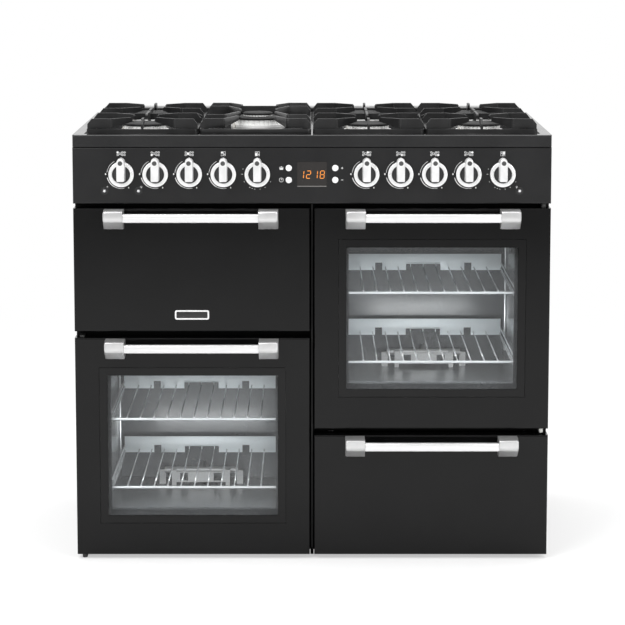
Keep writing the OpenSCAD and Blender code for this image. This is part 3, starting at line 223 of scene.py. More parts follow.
def makeGrainGroup():              # fine bump, patchy roughness and a mask, stretched if asked
    group, start, end = newGroup("surfaceGrain", [
        ("scale", "Float", 300.0), ("stretch", "Vector", (1, 1, 1)), ("bump", "Float", 0.1),
        ("roughLow", "Float", 0.2), ("roughHigh", "Float", 0.3)],
        [("mask", "Float"), ("roughness", "Float"), ("normal", "Vector")])
    link = group.links.new
    place = addNode(group, "TexCoord")
    stretch = addNode(group, "Mapping")
    fine = addNode(group, "TexNoise", {"Detail": 4.0, "Roughness": 0.6})
    slow = addNode(group, "Math", operation="MULTIPLY")
    slow.inputs[1].default_value = 0.04
    wide = addNode(group, "TexNoise", {"Detail": 3.0})
    both = addNode(group, "Mix", {"Factor": 0.6}, data_type="FLOAT")
    spread = addNode(group, "MapRange", {"From Min": 0.35, "From Max": 0.65})
    rough = addNode(group, "MapRange")
    bump = addNode(group, "Bump", {"Distance": 0.0004})
    link(place.outputs["Object"], stretch.inputs["Vector"])
    link(start.outputs["stretch"], stretch.inputs["Scale"])
    link(start.outputs["scale"], fine.inputs["Scale"])
    link(start.outputs["scale"], slow.inputs[0])
    link(slow.outputs[0], wide.inputs["Scale"])
    for noise in (fine, wide):
        link(stretch.outputs["Vector"], noise.inputs["Vector"])
    link(fine.outputs["Fac"], both.inputs["A"])
    link(wide.outputs["Fac"], both.inputs["B"])
    link(both.outputs["Result"], spread.inputs["Value"])
    link(spread.outputs["Result"], rough.inputs["Value"])
    link(start.outputs["roughLow"], rough.inputs["To Min"])
    link(start.outputs["roughHigh"], rough.inputs["To Max"])
    link(fine.outputs["Fac"], bump.inputs["Height"])
    link(start.outputs["bump"], bump.inputs["Strength"])
    link(spread.outputs["Result"], end.inputs["mask"])
    link(rough.outputs["Result"], end.inputs["roughness"])
    link(bump.outputs["Normal"], end.inputs["normal"])
    return group


def makeSpeckGroup():              # small light and dark specks on a base colour
    group, start, end = newGroup("enamelSpecks", [
        ("base", "Color", (0.2, 0.2, 0.2, 1)), ("lightSpeck", "Color", (0.6, 0.6, 0.6, 1)),
        ("darkSpeck", "Color", (0.02, 0.02, 0.02, 1)), ("scale", "Float", 500.0)],
        [("colour", "Color")])
    link = group.links.new
    place = addNode(group, "TexCoord")
    colours = [start.outputs["base"]]
    for offset, label in ((0.0, "lightSpeck"), (7.3, "darkSpeck")):
        shift = addNode(group, "Mapping", {"Location": (offset, offset, 0)})
        cells = addNode(group, "TexVoronoi", feature="F1")
        size = addNode(group, "MapRange", {"From Min": 0.22, "From Max": 0.34, "To Min": 1.0, "To Max": 0.0})
        mix = addNode(group, "Mix", data_type="RGBA")
        link(place.outputs["Object"], shift.inputs["Vector"])
        link(shift.outputs["Vector"], cells.inputs["Vector"])
        link(start.outputs["scale"], cells.inputs["Scale"])
        link(cells.outputs["Distance"], size.inputs["Value"])
        link(size.outputs["Result"], mix.inputs["Factor"])
        link(colours[-1], mix.inputs["A"])
        link(start.outputs[label], mix.inputs["B"])
        colours.append(mix.outputs["Result"])
    link(colours[-1], end.inputs["colour"])
    return group


grainGroup = makeGrainGroup()
speckGroup = makeSpeckGroup()
finishes = {}


# Finishes. Every one has its own look, and Object coordinates place its pattern.

def startFinish(name, look):
    material = bpy.data.materials.new(name)
    material.use_nodes = True
    tree = material.node_tree
    tree.nodes.clear()
    shader = addNode(tree, "BsdfPrincipled")
    out = addNode(tree, "OutputMaterial")
    tree.links.new(shader.outputs["BSDF"], out.inputs["Surface"])
    sockets = {"metal": "Metallic", "specular": "Specular IOR Level", "coat": "Coat Weight", "ior": "IOR",
               "clear": "Transmission Weight"}
    for key, socket in sockets.items():
        if key in look:
            shader.inputs[socket].default_value = look[key]
    finishes[name] = material
    return tree, shader


def addGrain(tree, shader, look):
    grain = addNode(tree, "Group")
    grain.node_tree = grainGroup
    grain.inputs["scale"].default_value = look["scale"]
    grain.inputs["stretch"].default_value = look.get("stretch", (1, 1, 1))
    grain.inputs["bump"].default_value = look["bump"]
    grain.inputs["roughLow"].default_value, grain.inputs["roughHigh"].default_value = look["rough"]
    tree.links.new(grain.outputs["roughness"], shader.inputs["Roughness"])
    tree.links.new(grain.outputs["normal"], shader.inputs["Normal"])
    return grain


def grainFinish(name, look):       # two close tones over the grain
    tree, shader = startFinish(name, look)
    grain = addGrain(tree, shader, look)
    tones = addNode(tree, "Mix", data_type="RGBA")
    tones.inputs["A"].default_value = (*look["low"], 1)
    tones.inputs["B"].default_value = (*look["high"], 1)
    tree.links.new(grain.outputs["mask"], tones.inputs["Factor"])
    tree.links.new(tones.outputs["Result"], shader.inputs["Base Color"])
    return tree, shader


def speckFinish(name, look):       # enamel with specks
    tree, shader = startFinish(name, look)
    addGrain(tree, shader, look)
    specks = addNode(tree, "Group")
    specks.node_tree = speckGroup
    for key in ("base", "lightSpeck", "darkSpeck"):
        specks.inputs[key].default_value = (*look[key], 1)
    specks.inputs["scale"].default_value = look["speckScale"]
    tree.links.new(specks.outputs["colour"], shader.inputs["Base Color"])


def spangleFinish(name, look):     # zinc crystals of slightly different greys
    tree, shader = startFinish(name, look)
    addGrain(tree, shader, look)
    place = addNode(tree, "TexCoord")
    crystals = addNode(tree, "TexVoronoi", {"Scale": look["crystalScale"]}, feature="F1")
    tone = addNode(tree, "SeparateColor")
    tones = addNode(tree, "Mix", data_type="RGBA")
    tones.inputs["A"].default_value = (*look["low"], 1)
    tones.inputs["B"].default_value = (*look["high"], 1)
    tree.links.new(place.outputs["Object"], crystals.inputs["Vector"])
    tree.links.new(crystals.outputs["Color"], tone.inputs["Color"])
    tree.links.new(tone.outputs["Red"], tones.inputs["Factor"])
    tree.links.new(tones.outputs["Result"], shader.inputs["Base Color"])


def glassFinish(name, look):       # a pane that lets lamplight through
    tree, shader = grainFinish(name, look)
    path = addNode(tree, "LightPath")
    clear = addNode(tree, "BsdfTransparent")
    pane = addNode(tree, "MixShader")
    out = next(node for node in tree.nodes if node.type == "OUTPUT_MATERIAL")
    tree.links.new(path.outputs["Is Shadow Ray"], pane.inputs[0])
    tree.links.new(shader.outputs["BSDF"], pane.inputs[1])
    tree.links.new(clear.outputs[0], pane.inputs[2])
    tree.links.new(pane.outputs[0], out.inputs["Surface"])


def glowFinish(name, look):        # lit segments of the display
    tree, shader = grainFinish(name, look)
    place = addNode(tree, "TexCoord")
    cells = addNode(tree, "TexNoise", {"Scale": look["glowScale"]})
    glow = addNode(tree, "Mix", data_type="RGBA")
    glow.inputs["A"].default_value = (*look["glowLow"], 1)
    glow.inputs["B"].default_value = (*look["glowHigh"], 1)
    tree.links.new(place.outputs["Object"], cells.inputs["Vector"])
    tree.links.new(cells.outputs["Fac"], glow.inputs["Factor"])
    tree.links.new(glow.outputs["Result"], shader.inputs["Emission Color"])
    shader.inputs["Emission Strength"].default_value = look["glow"]


grainFinish("doorEnamel", {"low": (0.002, 0.002, 0.0021), "high": (0.0035, 0.0035, 0.0036),
                           "rough": (0.05, 0.09), "specular": 0.25, "scale": 260, "bump": 0.012})
grainFinish("panelEnamel", {"low": (0.009, 0.009, 0.0095), "high": (0.013, 0.013, 0.0135),
                            "rough": (0.28, 0.36), "specular": 0.31, "scale": 320, "bump": 0.04})
grainFinish("hobEnamel", {"low": (0.014, 0.014, 0.0145), "high": (0.02, 0.02, 0.0205),
                          "rough": (0.1, 0.16), "specular": 0.42, "scale": 300, "bump": 0.02})
grainFinish("casingPaint", {"low": (0.013, 0.013, 0.0135), "high": (0.015, 0.015, 0.0155),
                            "rough": (0.46, 0.5), "specular": 0.4, "scale": 700, "bump": 0.25})
grainFinish("frameEnamel", {"low": (0.002, 0.002, 0.002), "high": (0.004, 0.004, 0.004),
                            "rough": (0.5, 0.6), "specular": 0.12, "scale": 400, "bump": 0.08})
grainFinish("supportIron", {"low": (0.008, 0.008, 0.0082), "high": (0.019, 0.019, 0.0195),
                            "rough": (0.3, 0.44), "specular": 0.42, "scale": 650, "bump": 0.2})
grainFinish("capEnamel", {"low": (0.004, 0.004, 0.004), "high": (0.009, 0.009, 0.0092),
                          "rough": (0.5, 0.62), "specular": 0.22, "scale": 500, "bump": 0.12})
grainFinish("burnerAlloy", {"low": (0.86, 0.86, 0.85), "high": (0.96, 0.96, 0.95), "metal": 0.15,
                            "rough": (0.3, 0.48), "scale": 800, "bump": 0.3})
grainFinish("igniterCeramic", {"low": (0.62, 0.6, 0.56), "high": (0.78, 0.77, 0.73), "rough": (0.2, 0.35),
                               "coat": 0.4, "scale": 900, "bump": 0.05})
speckFinish("ovenEnamel", {"base": (0.1, 0.104, 0.109), "lightSpeck": (0.36, 0.37, 0.38),
                           "darkSpeck": (0.03, 0.03, 0.033), "speckScale": 620, "rough": (0.16, 0.26),
                           "specular": 0.5, "scale": 240, "bump": 0.06})
grainFinish("shelfChrome", {"low": (0.86, 0.87, 0.88), "high": (0.93, 0.94, 0.95), "metal": 0.6,
                            "rough": (0.12, 0.22), "scale": 600, "bump": 0.05})
grainFinish("burnerSteel", {"low": (0.32, 0.32, 0.32), "high": (0.44, 0.44, 0.44), "metal": 0.5,
                            "rough": (0.4, 0.5), "scale": 500, "stretch": (0.1, 1, 1), "bump": 0.1})
grainFinish("handleSatin", {"low": (0.62, 0.62, 0.62), "high": (0.7, 0.7, 0.7), "metal": 0.7,
                            "rough": (0.28, 0.38), "scale": 900, "bump": 0.06})
grainFinish("handleBrushed", {"low": (0.72, 0.72, 0.72), "high": (0.9, 0.9, 0.9), "metal": 0.55,
                              "rough": (0.24, 0.4), "scale": 1500, "stretch": (0.012, 1, 1), "bump": 0.16})
grainFinish("knobBright", {"low": (0.88, 0.88, 0.88), "high": (0.93, 0.93, 0.93), "metal": 0.3,
                           "rough": (0.26, 0.34), "scale": 500, "bump": 0.02})
grainFinish("knobSatin", {"low": (0.72, 0.72, 0.72), "high": (0.88, 0.88, 0.88), "metal": 0.35,
                          "rough": (0.32, 0.42), "scale": 1400, "bump": 0.14})
grainFinish("knobDark", {"low": (0.018, 0.018, 0.019), "high": (0.035, 0.035, 0.036), "rough": (0.25, 0.4),
                         "scale": 900, "stretch": (1, 1, 0.06), "bump": 0.12})
grainFinish("dotGrey", {"low": (0.05, 0.05, 0.05), "high": (0.075, 0.075, 0.075), "rough": (0.3, 0.4),
                        "scale": 900, "bump": 0.05})
grainFinish("dotBlack", {"low": (0.012, 0.012, 0.012), "high": (0.02, 0.02, 0.02), "rough": (0.3, 0.4),
                         "scale": 900, "bump": 0.05})
grainFinish("printWhite", {"low": (0.68, 0.68, 0.68), "high": (0.82, 0.82, 0.82), "rough": (0.4, 0.5),
                           "scale": 1500, "bump": 0.03})
grainFinish("lensGlass", {"low": (0.021, 0.019, 0.018), "high": (0.025, 0.0225, 0.0215),
                          "rough": (0.1, 0.16), "scale": 200, "bump": 0.01})
grainFinish("trimDull", {"low": (0.16, 0.155, 0.15), "high": (0.22, 0.21, 0.2), "rough": (0.35, 0.5),
                         "scale": 1500, "stretch": (0.02, 1, 1), "bump": 0.08})
glowFinish("displayAmber", {"low": (0.5, 0.12, 0.01), "high": (0.6, 0.16, 0.015), "rough": (0.4, 0.5),
                            "scale": 900, "bump": 0.02, "glowLow": (0.8, 0.26, 0.03),
                            "glowHigh": (0.9, 0.42, 0.08), "glowScale": 260, "glow": 0.7})
grainFinish("buttonSilver", {"low": (0.88, 0.88, 0.88), "high": (0.94, 0.94, 0.94), "metal": 0.25,
                             "rough": (0.22, 0.32), "scale": 900, "bump": 0.04})
grainFinish("buttonDark", {"low": (0.1, 0.1, 0.105), "high": (0.16, 0.16, 0.165), "metal": 0.8,
                           "rough": (0.2, 0.3), "scale": 700, "bump": 0.03})
glassFinish("doorGlass", {"low": (0.93, 0.95, 0.96), "high": (0.97, 0.98, 0.98), "clear": 1.0, "ior": 1.3,
                          "rough": (0.0, 0.012), "scale": 60, "bump": 0.0})
grainFinish("sealRubber", {"low": (0.012, 0.012, 0.012), "high": (0.03, 0.03, 0.03), "rough": (0.65, 0.85),
                           "scale": 800, "bump": 0.4})
grainFinish("borderPrint", {"low": (0.002, 0.002, 0.0021), "high": (0.0035, 0.0035, 0.0036),
                            "rough": (0.05, 0.08), "specular": 0.27, "scale": 260, "bump": 0.01})
grainFinish("guardSatin", {"low": (0.78, 0.83, 0.85), "high": (0.86, 0.9, 0.92), "metal": 0.2,
                           "rough": (0.4, 0.5), "scale": 700, "stretch": (0.05, 1, 1), "bump": 0.08})
grainFinish("hingeDark", {"low": (0.05, 0.05, 0.05), "high": (0.09, 0.09, 0.088), "metal": 0.7,
                          "rough": (0.4, 0.55), "scale": 400, "bump": 0.06})
grainFinish("hingeZinc", {"low": (0.5, 0.5, 0.48), "high": (0.7, 0.7, 0.67), "metal": 1.0,
                          "rough": (0.3, 0.45), "scale": 400, "bump": 0.06})
spangleFinish("galvanised", {"low": (0.4, 0.41, 0.42), "high": (0.62, 0.63, 0.64), "metal": 1.0,
                             "rough": (0.34, 0.5), "scale": 300, "bump": 0.04, "crystalScale": 90})
grainFinish("gasMetal", {"low": (0.5, 0.5, 0.49), "high": (0.68, 0.68, 0.66), "metal": 1.0,
                         "rough": (0.3, 0.45), "scale": 500, "bump": 0.1})
grainFinish("blackPlastic", {"low": (0.012, 0.012, 0.012), "high": (0.024, 0.024, 0.024),
                             "rough": (0.42, 0.56), "scale": 1100, "bump": 0.22})
grainFinish("footPlastic", {"low": (0.014, 0.014, 0.014), "high": (0.028, 0.028, 0.028),
                            "rough": (0.5, 0.65), "scale": 900, "bump": 0.3})
grainFinish("mineralWool", {"low": (0.45, 0.38, 0.2), "high": (0.72, 0.66, 0.45), "rough": (0.9, 1.0),
                            "scale": 420, "stretch": (1, 0.3, 1), "bump": 1.0})
grainFinish("drawerPaint", {"low": (0.06, 0.06, 0.063), "high": (0.09, 0.09, 0.094),
                            "rough": (0.35, 0.48), "specular": 0.4, "scale": 600, "bump": 0.12})
print("finishes made:", len(finishes))

nodeFinishes = {
    "side_panel_left": "casingPaint", "side_panel_right": "casingPaint", "back_panel": "galvanised",
    "chassis_frame": "frameEnamel", "levelling_feet": "footPlastic", "hob_tray": "hobEnamel",
    "control_panel": "panelEnamel", "timer_module": "lensGlass", "gas_rail": "gasMetal",
    "burner_crowns": "burnerAlloy", "burner_caps": "capEnamel", "spark_igniters": "igniterCeramic",
    "left_oven_cavity": "ovenEnamel", "right_oven_cavity": "ovenEnamel", "grill_cavity": "ovenEnamel",
    "oven_insulation": "mineralWool", "oven_side_racks": "shelfChrome", "oven_shelves": "shelfChrome",
    "oven_burners": "burnerSteel", "grill_burner": "burnerSteel", "grill_pan": "ovenEnamel",
    "oven_seals": "sealRubber", "door_hinge_brackets": "hingeDark", "drawer_runners": "galvanised",
    "mains_terminal": "blackPlastic", "grill_door_panel": "doorEnamel", "grill_door_liner": "ovenEnamel",
    "left_door_panel": "doorEnamel", "left_door_glass": "doorGlass", "left_door_liner": "ovenEnamel",
    "right_door_panel": "doorEnamel", "right_door_glass": "doorGlass", "right_door_liner": "ovenEnamel",
    "drawer_front": "doorEnamel", "drawer_box": "drawerPaint"}
nodeFinishes.update({name: "buttonSilver" for name in nodes if name.startswith("timer_button")})
nodeFinishes.update({name: "buttonDark" for name in nodes if name.startswith("push_button")})
nodeFinishes.update({name: "supportIron" for name in nodes if name.startswith("pan_support")})
nodeFinishes.update({name: "handleSatin" for name in nodes if name.endswith("handle")})
nodeFinishes.update({name: "knobSatin" for name in nodes if name.startswith("knob")})
for name, finish in nodeFinishes.items():
    for place in range(len(nodes[name].material_slots)):
        nodes[name].material_slots[place].material = finishes[finish]
print("finishes on the construction:", len(nodeFinishes))


# Knobs: a chrome ring, a dark disc in it, a satin grip with a round head and a black dot

knob = {"ringWidth": 7.7, "ringFront": 10, "standOff": 0.5, "discFront": 5, "gripWidth": 17.6,
        "gripLow": -14, "gripTop": 34.8, "gripFront": 33, "dotHeight": 26, "dotRadius": 4.8,
        "taper": 0.9, "rimBevel": 1.4, "backBevel": 0.8, "gripBevel": 1.6, "heelBevel": 2.6,
        "discThickness": 0.6, "discRim": 1.4, "discGroove": 0.8, "discStep": 0.25, "dotThickness": 0.5}


def onOneCircle(a, b):             # an edge that runs round the Y axis, not across it
    return abs(math.hypot(a.x, a.z) - math.hypot(b.x, b.z)) < 0.1


def makeKnobRing(radius):
    ring = startRod("knobRing", (0, -(knob["ringFront"] + knob["standOff"]) / 2, 0), radius,
                    knob["ringFront"] - knob["standOff"], sides=72)
    editFaces(ring, lambda middle, normal: normal.y < -0.9)
    insetBy(knob["ringWidth"])
    extrudeBy(0, knob["ringFront"] - knob["discFront"], 0)
    editEdges(ring, lambda a, b: max(a.y, b.y) < 0.2 - knob["ringFront"] and onOneCircle(a, b))
    bevelBy(knob["rimBevel"], 4)
    editEdges(ring, lambda a, b: min(a.y, b.y) > -knob["standOff"] - 0.1 and onOneCircle(a, b))
    bevelBy(knob["backBevel"], 2)
    return ring


def makeKnobDisc(radius):
    thickness, step = knob["discThickness"], knob["discStep"]
    disc = startRod("knobDisc", (0, -knob["discFront"] - thickness / 2, 0), radius, thickness, sides=72)
    editFaces(disc, lambda middle, normal: normal.y < -0.9)
    insetBy(knob["discRim"])
    extrudeBy(0, step, 0)
    insetBy(knob["discGroove"])
    extrudeBy(0, -step, 0)
    return disc


def makeKnobGrip():
    half = knob["gripWidth"] / 2
    grip = startBox("knobGrip", (-half, -knob["gripFront"], knob["gripLow"]),
                    (half, -knob["discFront"], knob["gripTop"]))
    editEdges(grip, lambda a, b: abs(a.x - b.x) < 0.1 and abs(a.z - b.z) < 0.1 and a.z > 0)
    bevelBy(half - 0.02, 12)
    editEdges(grip, lambda a, b: abs(a.x - b.x) < 0.1 and abs(a.z - b.z) < 0.1 and a.z < 0)
    bevelBy(knob["heelBevel"], 4)
    editFaces(grip, lambda middle, normal: normal.y < -0.9)
    resizeBy(knob["taper"], 1, 0.97, (0, -knob["gripFront"], knob["dotHeight"] / 2))
    editEdges(grip, lambda a, b: a.y < 0.1 - knob["gripFront"] and b.y < 0.1 - knob["gripFront"])
    bevelBy(knob["gripBevel"], 4)
    return grip


def makeKnobDot():
    dot = startRod("knobDot", (0, -knob["gripFront"], knob["dotHeight"] - 0.4), knob["dotRadius"],
                   knob["dotThickness"], sides=32)
    editFaces(dot, lambda middle, normal: normal.y < -0.9)
    insetBy(0.5)
    extrudeBy(0, 0.2, 0)
    return dot


knobNodes = sorted((name for name in nodes if name.startswith("knob_")), key=lambda n: int(n.split("_")[1]))
knobRadius = (boxOf("knob_1")[1].x - boxOf("knob_1")[0].x) / 2
panelFace = boxOf("control_panel")[0].y
knobPlaces = [((boxOf(name)[0].x + boxOf(name)[1].x) / 2, panelFace, boxOf(name)[0].z + knobRadius)
              for name in knobNodes]
knobParts = {"knobRing": (makeKnobRing(knobRadius), "knobBright"),
             "knobDisc": (makeKnobDisc(knobRadius - knob["ringWidth"] - 0.1), "knobDark"),
             "knobGrip": (makeKnobGrip(), "knobSatin"), "knobDot": (makeKnobDot(), "dotGrey")}
for part, (model, finish) in knobParts.items():
    for name, place in zip(knobNodes, knobPlaces):
        piece = finished(copied(model, part + name.split("_")[1], *place), finish, name)
        if part == "knobGrip":
            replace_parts(piece, name)
    bpy.data.objects.remove(model)
print("knobs made:", len(knobNodes))


# Print on the panel: arcs, flames, dots and little maps, as thin raised ink

ink = {"standOff": 0.02, "thickness": 0.12, "arcRadius": 30.6, "thinArc": 0.8, "thickArc": 1.7,
       "tickWidth": 1.9, "tickFrom": 29, "tickTo": 35, "mapHeight": 43, "dotRing": 31.8, "dotRadius": 0.85,
       "ovenDots": (290, 270, 240, 210, 200, 190, 170, 150, 120),      # on the clock, in degrees
       "burnerSpots": ((-7.2, 2.7), (-7.2, -2.7), (-2.4, 0), (2.4, 2.7), (2.4, -2.7), (7.2, 2.7),
                       (7.2, -2.7)),
       "frontCards": ((-2.5, 2.9, 4.4, 3.2), (-2.5, -1.9, 4.4, 5.6), (2.5, 1.7, 4.4, 5.6),
                      (2.5, -3.1, 4.4, 3.2)),
       "wokSpot": 2.5, "spot": 2.1, "spotLine": 0.8, "cardLine": 0.6}


def clockOf(point):                # degrees clockwise from 12 o'clock, seen from the front
    return math.degrees(math.atan2(point.x, point.z)) % 360


def onClock(degrees, radius):
    return radius * math.sin(math.radians(degrees)), radius * math.cos(math.radians(degrees))


def flatRing(radius, width, sides=14, x=0, z=0):
    ring = startDisc("ring", radius, sides, x, z)
    editFaces(ring, lambda middle, normal: True)
    insetBy(width)
    bpy.ops.mesh.delete(type="FACE")
    return ring


def flatArc(radius, width, clockFrom, clockTo):
    arc = flatRing(radius, width, 90)
    editFaces(arc, lambda middle, normal: not clockFrom <= clockOf(middle) <= clockTo)
    bpy.ops.mesh.delete(type="FACE")
    return arc


def flatFlame(size, x, z):
    flame = startDisc("flame", size, 10, x, z - size * 0.3)
    for point in flame.data.vertices:
        if point.co.z / mm > z + size * 0.5:
            point.co.z += size * 0.9 * mm
    return flame


def burnerMarks():
    x, z = onClock(270, ink["arcRadius"] + 2.2)
    smallX, smallZ = onClock(152, ink["arcRadius"] + 1.6)
    return [flatArc(ink["arcRadius"], ink["thinArc"], 278, 332),
            flatArc(ink["arcRadius"] + 0.4, ink["thickArc"], 212, 256),
            flatArc(ink["arcRadius"], ink["thickArc"] * 0.6, 186, 212),
            flatArc(ink["arcRadius"], ink["thinArc"], 166, 186),
            flatFlame(1.4, x, z), flatFlame(1.2, smallX, smallZ)]


def ovenMarks():
    marks = []
    for degrees in ink["ovenDots"]:
        x, z = onClock(degrees, ink["dotRing"])
        if degrees == 270:
            marks.append(startCard("dash", 3.4, 0.9, x, z))
        else:
            marks.append(startDisc("dot", ink["dotRadius"], 8, x, z))
    return marks


def tick():
    middle = (ink["tickFrom"] + ink["tickTo"]) / 2
    return startCard("tick", ink["tickWidth"], ink["tickTo"] - ink["tickFrom"], 0, middle)


def hobMap(lit):                   # the seven burners as small rings, one of them filled
    marks = []
    for number, (x, z) in enumerate(ink["burnerSpots"]):
        size = ink["wokSpot"] if number == 2 else ink["spot"]
        spot = (x, ink["mapHeight"] + z)
        if number == lit:
            marks.append(startDisc("spot", size + 0.3, 14, *spot))
        else:
            marks.append(flatRing(size, ink["spotLine"], 12, *spot))
    return marks


def doorMap(lit):                  # the four fronts as small frames, one of them filled
    marks = []
    for number, (x, z, width, height) in enumerate(ink["frontCards"]):
        card = startCard("front", width, height, x, ink["mapHeight"] + z)
        if number != lit:
            editFaces(card, lambda middle, normal: True)
            insetBy(ink["cardLine"])
            bpy.ops.mesh.delete(type="FACE")
        marks.append(card)
    return marks


def printOn(name, marks, x, z):    # joins flat marks into one thin solid on the panel
    printed = moved(joined(name, marks), x, panelFace - ink["standOff"], z)
    modified(printed, "SOLIDIFY", thickness=ink["thickness"] * mm, offset=1.0)
    return finished(printed, "printWhite")


litBurners = {0: 0, 1: 1, 2: 2, 5: 3, 6: 4, 7: 6, 8: 5}
litFronts = {3: 0, 4: 1, 9: 2}
for number, (x, face, z) in enumerate(knobPlaces):
    marks = [tick()]
    marks += hobMap(litBurners[number]) if number in litBurners else doorMap(litFronts[number])
    marks += ovenMarks() if number in (4, 9) else burnerMarks()
    printOn("knobPrint" + str(number + 1), marks, x, z)
print("panel print made")


# The timer: lit digits on the dark lens, a dull trim under it and signs at its buttons

timer = {"digits": "1218", "digitWidth": 8.2, "digitHeight": 15.6, "stroke": 1.45, "drop": 1.8, "pitch": 14.3,
         "lean": 0.08, "lensAbove": 38, "lensHalf": 25, "trimHalf": 30.5, "trimLow": 2.2, "trimHigh": 0.4,
         "trimProud": 0.5, "iconX": 64}
digitBars = {"1": "bc", "2": "abged", "8": "abcdefg"}


def segment(bar, x, z):
    w, h = timer["digitWidth"] / 2, timer["digitHeight"] / 2
    across = {"a": h, "g": 0, "d": -h}
    upright = {"f": (-w, h / 2), "b": (w, h / 2), "e": (-w, -h / 2), "c": (w, -h / 2)}
    if bar in across:
        card = startCard("bar", 2 * w - 0.9, timer["stroke"], x, z + across[bar])
    else:
        card = startCard("bar", timer["stroke"], h - 0.9, x + upright[bar][0], z + upright[bar][1])
    editFaces(card, lambda middle, normal: True)
    bevelBy(timer["stroke"] * 0.45, 1, "VERTICES")
    return card


def makeTimer():
    face = boxOf("timer_module")[0].y
    lensLow = boxOf("control_panel")[0].z + timer["lensAbove"]
    bars = []
    for place, digit in zip((-1.5, -0.5, 0.5, 1.5), timer["digits"]):
        bars += [segment(bar, place * timer["pitch"], 0) for bar in digitBars[digit]]
    digits = joined("timerDigits", bars)
    for point in digits.data.vertices:
        point.co.x += timer["lean"] * point.co.z
    moved(digits, 0, face - 0.05, lensLow + timer["lensHalf"] - timer["drop"])
    modified(digits, "SOLIDIFY", thickness=0.1 * mm, offset=1.0)
    finished(digits, "displayAmber")
    half, proud = timer["trimHalf"], timer["trimProud"]
    trim = startBox("timerTrim", (-half, face - proud, lensLow - timer["trimLow"]),
                    (half, face + proud, lensLow - timer["trimHigh"]))
    editEdges(trim, lambda a, b: a.y < face - 0.4 and b.y < face - 0.4)
    bevelBy(0.4, 2)
    finished(trim, "trimDull")


makeTimer()


def timerIcons():
    buttons = [boxOf("timer_button_" + str(n)) for n in (1, 2)]
    high, low = [(a.z + b.z) / 2 for a, b in buttons]
    x = timer["iconX"]
    pot = [startCard("pot", 7, 4, -x, high - 1.6), startCard("lid", 8, 0.9, -x, high + 1.6),
           startCard("lidKnob", 1.6, 1.2, -x, high + 2.9), startCard("ear", 9.4, 0.9, -x, high - 0.2)]
    clock = [flatRing(4.6, 0.7, 24, -x, low), startCard("hand", 0.8, 3.4, -x, low + 1.3),
             startCard("hand", 2.6, 0.8, -x + 1, low)]
    signs = [startCard("plus", 4.4, 1, x - 1, high), startCard("plus", 1, 4.4, x - 1, high),
             startCard("minus", 4.4, 1, x - 1, low)]
    printOn("timerPrint", pot + clock + signs, 0, 0)


timerIcons()
print("timer made")


# Dark surrounds, domes whose bright silver colour is a painted highlight, and small signs at the push buttons

pushButton = {"surroundRadius": 8.2, "surroundDepth": 1.0, "surroundWidth": 2.6, "surroundSheet": 0.5,
              "domeRadius": 2.5, "domeLength": 1.3, "domeBevel": 1.1, "signSide": 6, "signUp": 8.5}


def makeButtonSurround():
    depth = pushButton["surroundDepth"]
    surround = startRod("surround", (0, -depth / 2, 0), pushButton["surroundRadius"], depth, sides=40)
    editFaces(surround, lambda middle, normal: normal.y < -0.9)
    insetBy(pushButton["surroundWidth"])
    bpy.ops.mesh.delete(type="FACE")
    editFaces(surround, lambda middle, normal: normal.y > 0.9)
    bpy.ops.mesh.delete(type="FACE")
    modified(surround, "SOLIDIFY", thickness=pushButton["surroundSheet"] * mm, offset=-1.0)
    return surround


def sparkSign(x, z):
    return [startCard("ray", 0.7, 3.4, x, z), startCard("ray", 3.4, 0.7, x, z)]


def lampSign(x, z):
    return [flatRing(1.7, 0.5, 12, x, z), startCard("cap", 1.8, 1.1, x, z - 2.3)]


def makeDome():                    # a domed bead in the middle of a push button; its bright silver colour is a painted highlight on the dark chrome button
    dome = startRod("dome", (0, -0.55, 0), pushButton["domeRadius"], pushButton["domeLength"], sides=32)
    editEdges(dome, lambda a, b: max(a.y, b.y) < -1.1)
    bevelBy(pushButton["domeBevel"], 5)
    return dome


surroundModel = makeButtonSurround()
highlightDomeModel = makeDome()
for number, sign in zip((1, 2, 3), (sparkSign, lampSign, lampSign)):
    low, high = boxOf("push_button_" + str(number))
    x, z = (low.x + high.x) / 2, (low.z + high.z) / 2
    finished(copied(surroundModel, "buttonSurround" + str(number), x, panelFace, z), "dotBlack")
    # the bright dome is a painted highlight: its near-white colour stands in for the button's reflection
    finished(copied(highlightDomeModel, "buttonDome" + str(number), x, low.y, z), "buttonSilver",
             "push_button_" + str(number))
    side = -1 if x > 0 else 1
    printOn("buttonPrint" + str(number), sign(side * pushButton["signSide"], pushButton["signUp"]), x, z)
bpy.data.objects.remove(surroundModel)
bpy.data.objects.remove(highlightDomeModel)
print("push buttons dressed")


# Copies of the solids with their edges broken, which stand in for them

def dressed(node, name, finish, edge, angle=35):
    piece = bpy.data.objects.new(name, nodes[node].data.copy())
    bpy.context.scene.collection.objects.link(piece)
    pick(piece)
    bpy.ops.mesh.customdata_custom_splitnormals_clear()
    editFaces(piece, lambda middle, normal: True)
    bpy.ops.mesh.remove_doubles(threshold=0.01 * mm)
    bpy.ops.mesh.dissolve_limited(angle_limit=math.radians(0.3))
    bpy.ops.mesh.quads_convert_to_tris(quad_method="BEAUTY", ngon_method="BEAUTY")
    clearPicks()
    modified(piece, "BEVEL", width=edge * mm, segments=2, limit_method="ANGLE",
             angle_limit=math.radians(angle), use_clamp_overlap=True, harden_normals=False)
    return finished(piece, finish, bodyOf[node], angle=40)


# Handles: the bar is a dressed copy, and the caps are modelled once and copied to all the ends

cap = {"width": 41, "reach": 50, "below": 25, "above": 15, "chamfer": 20, "slope": 8, "nose": 3.5, "end": 5,
       "crease": 6, "edge": 0.8, "slopeFoot": 21}


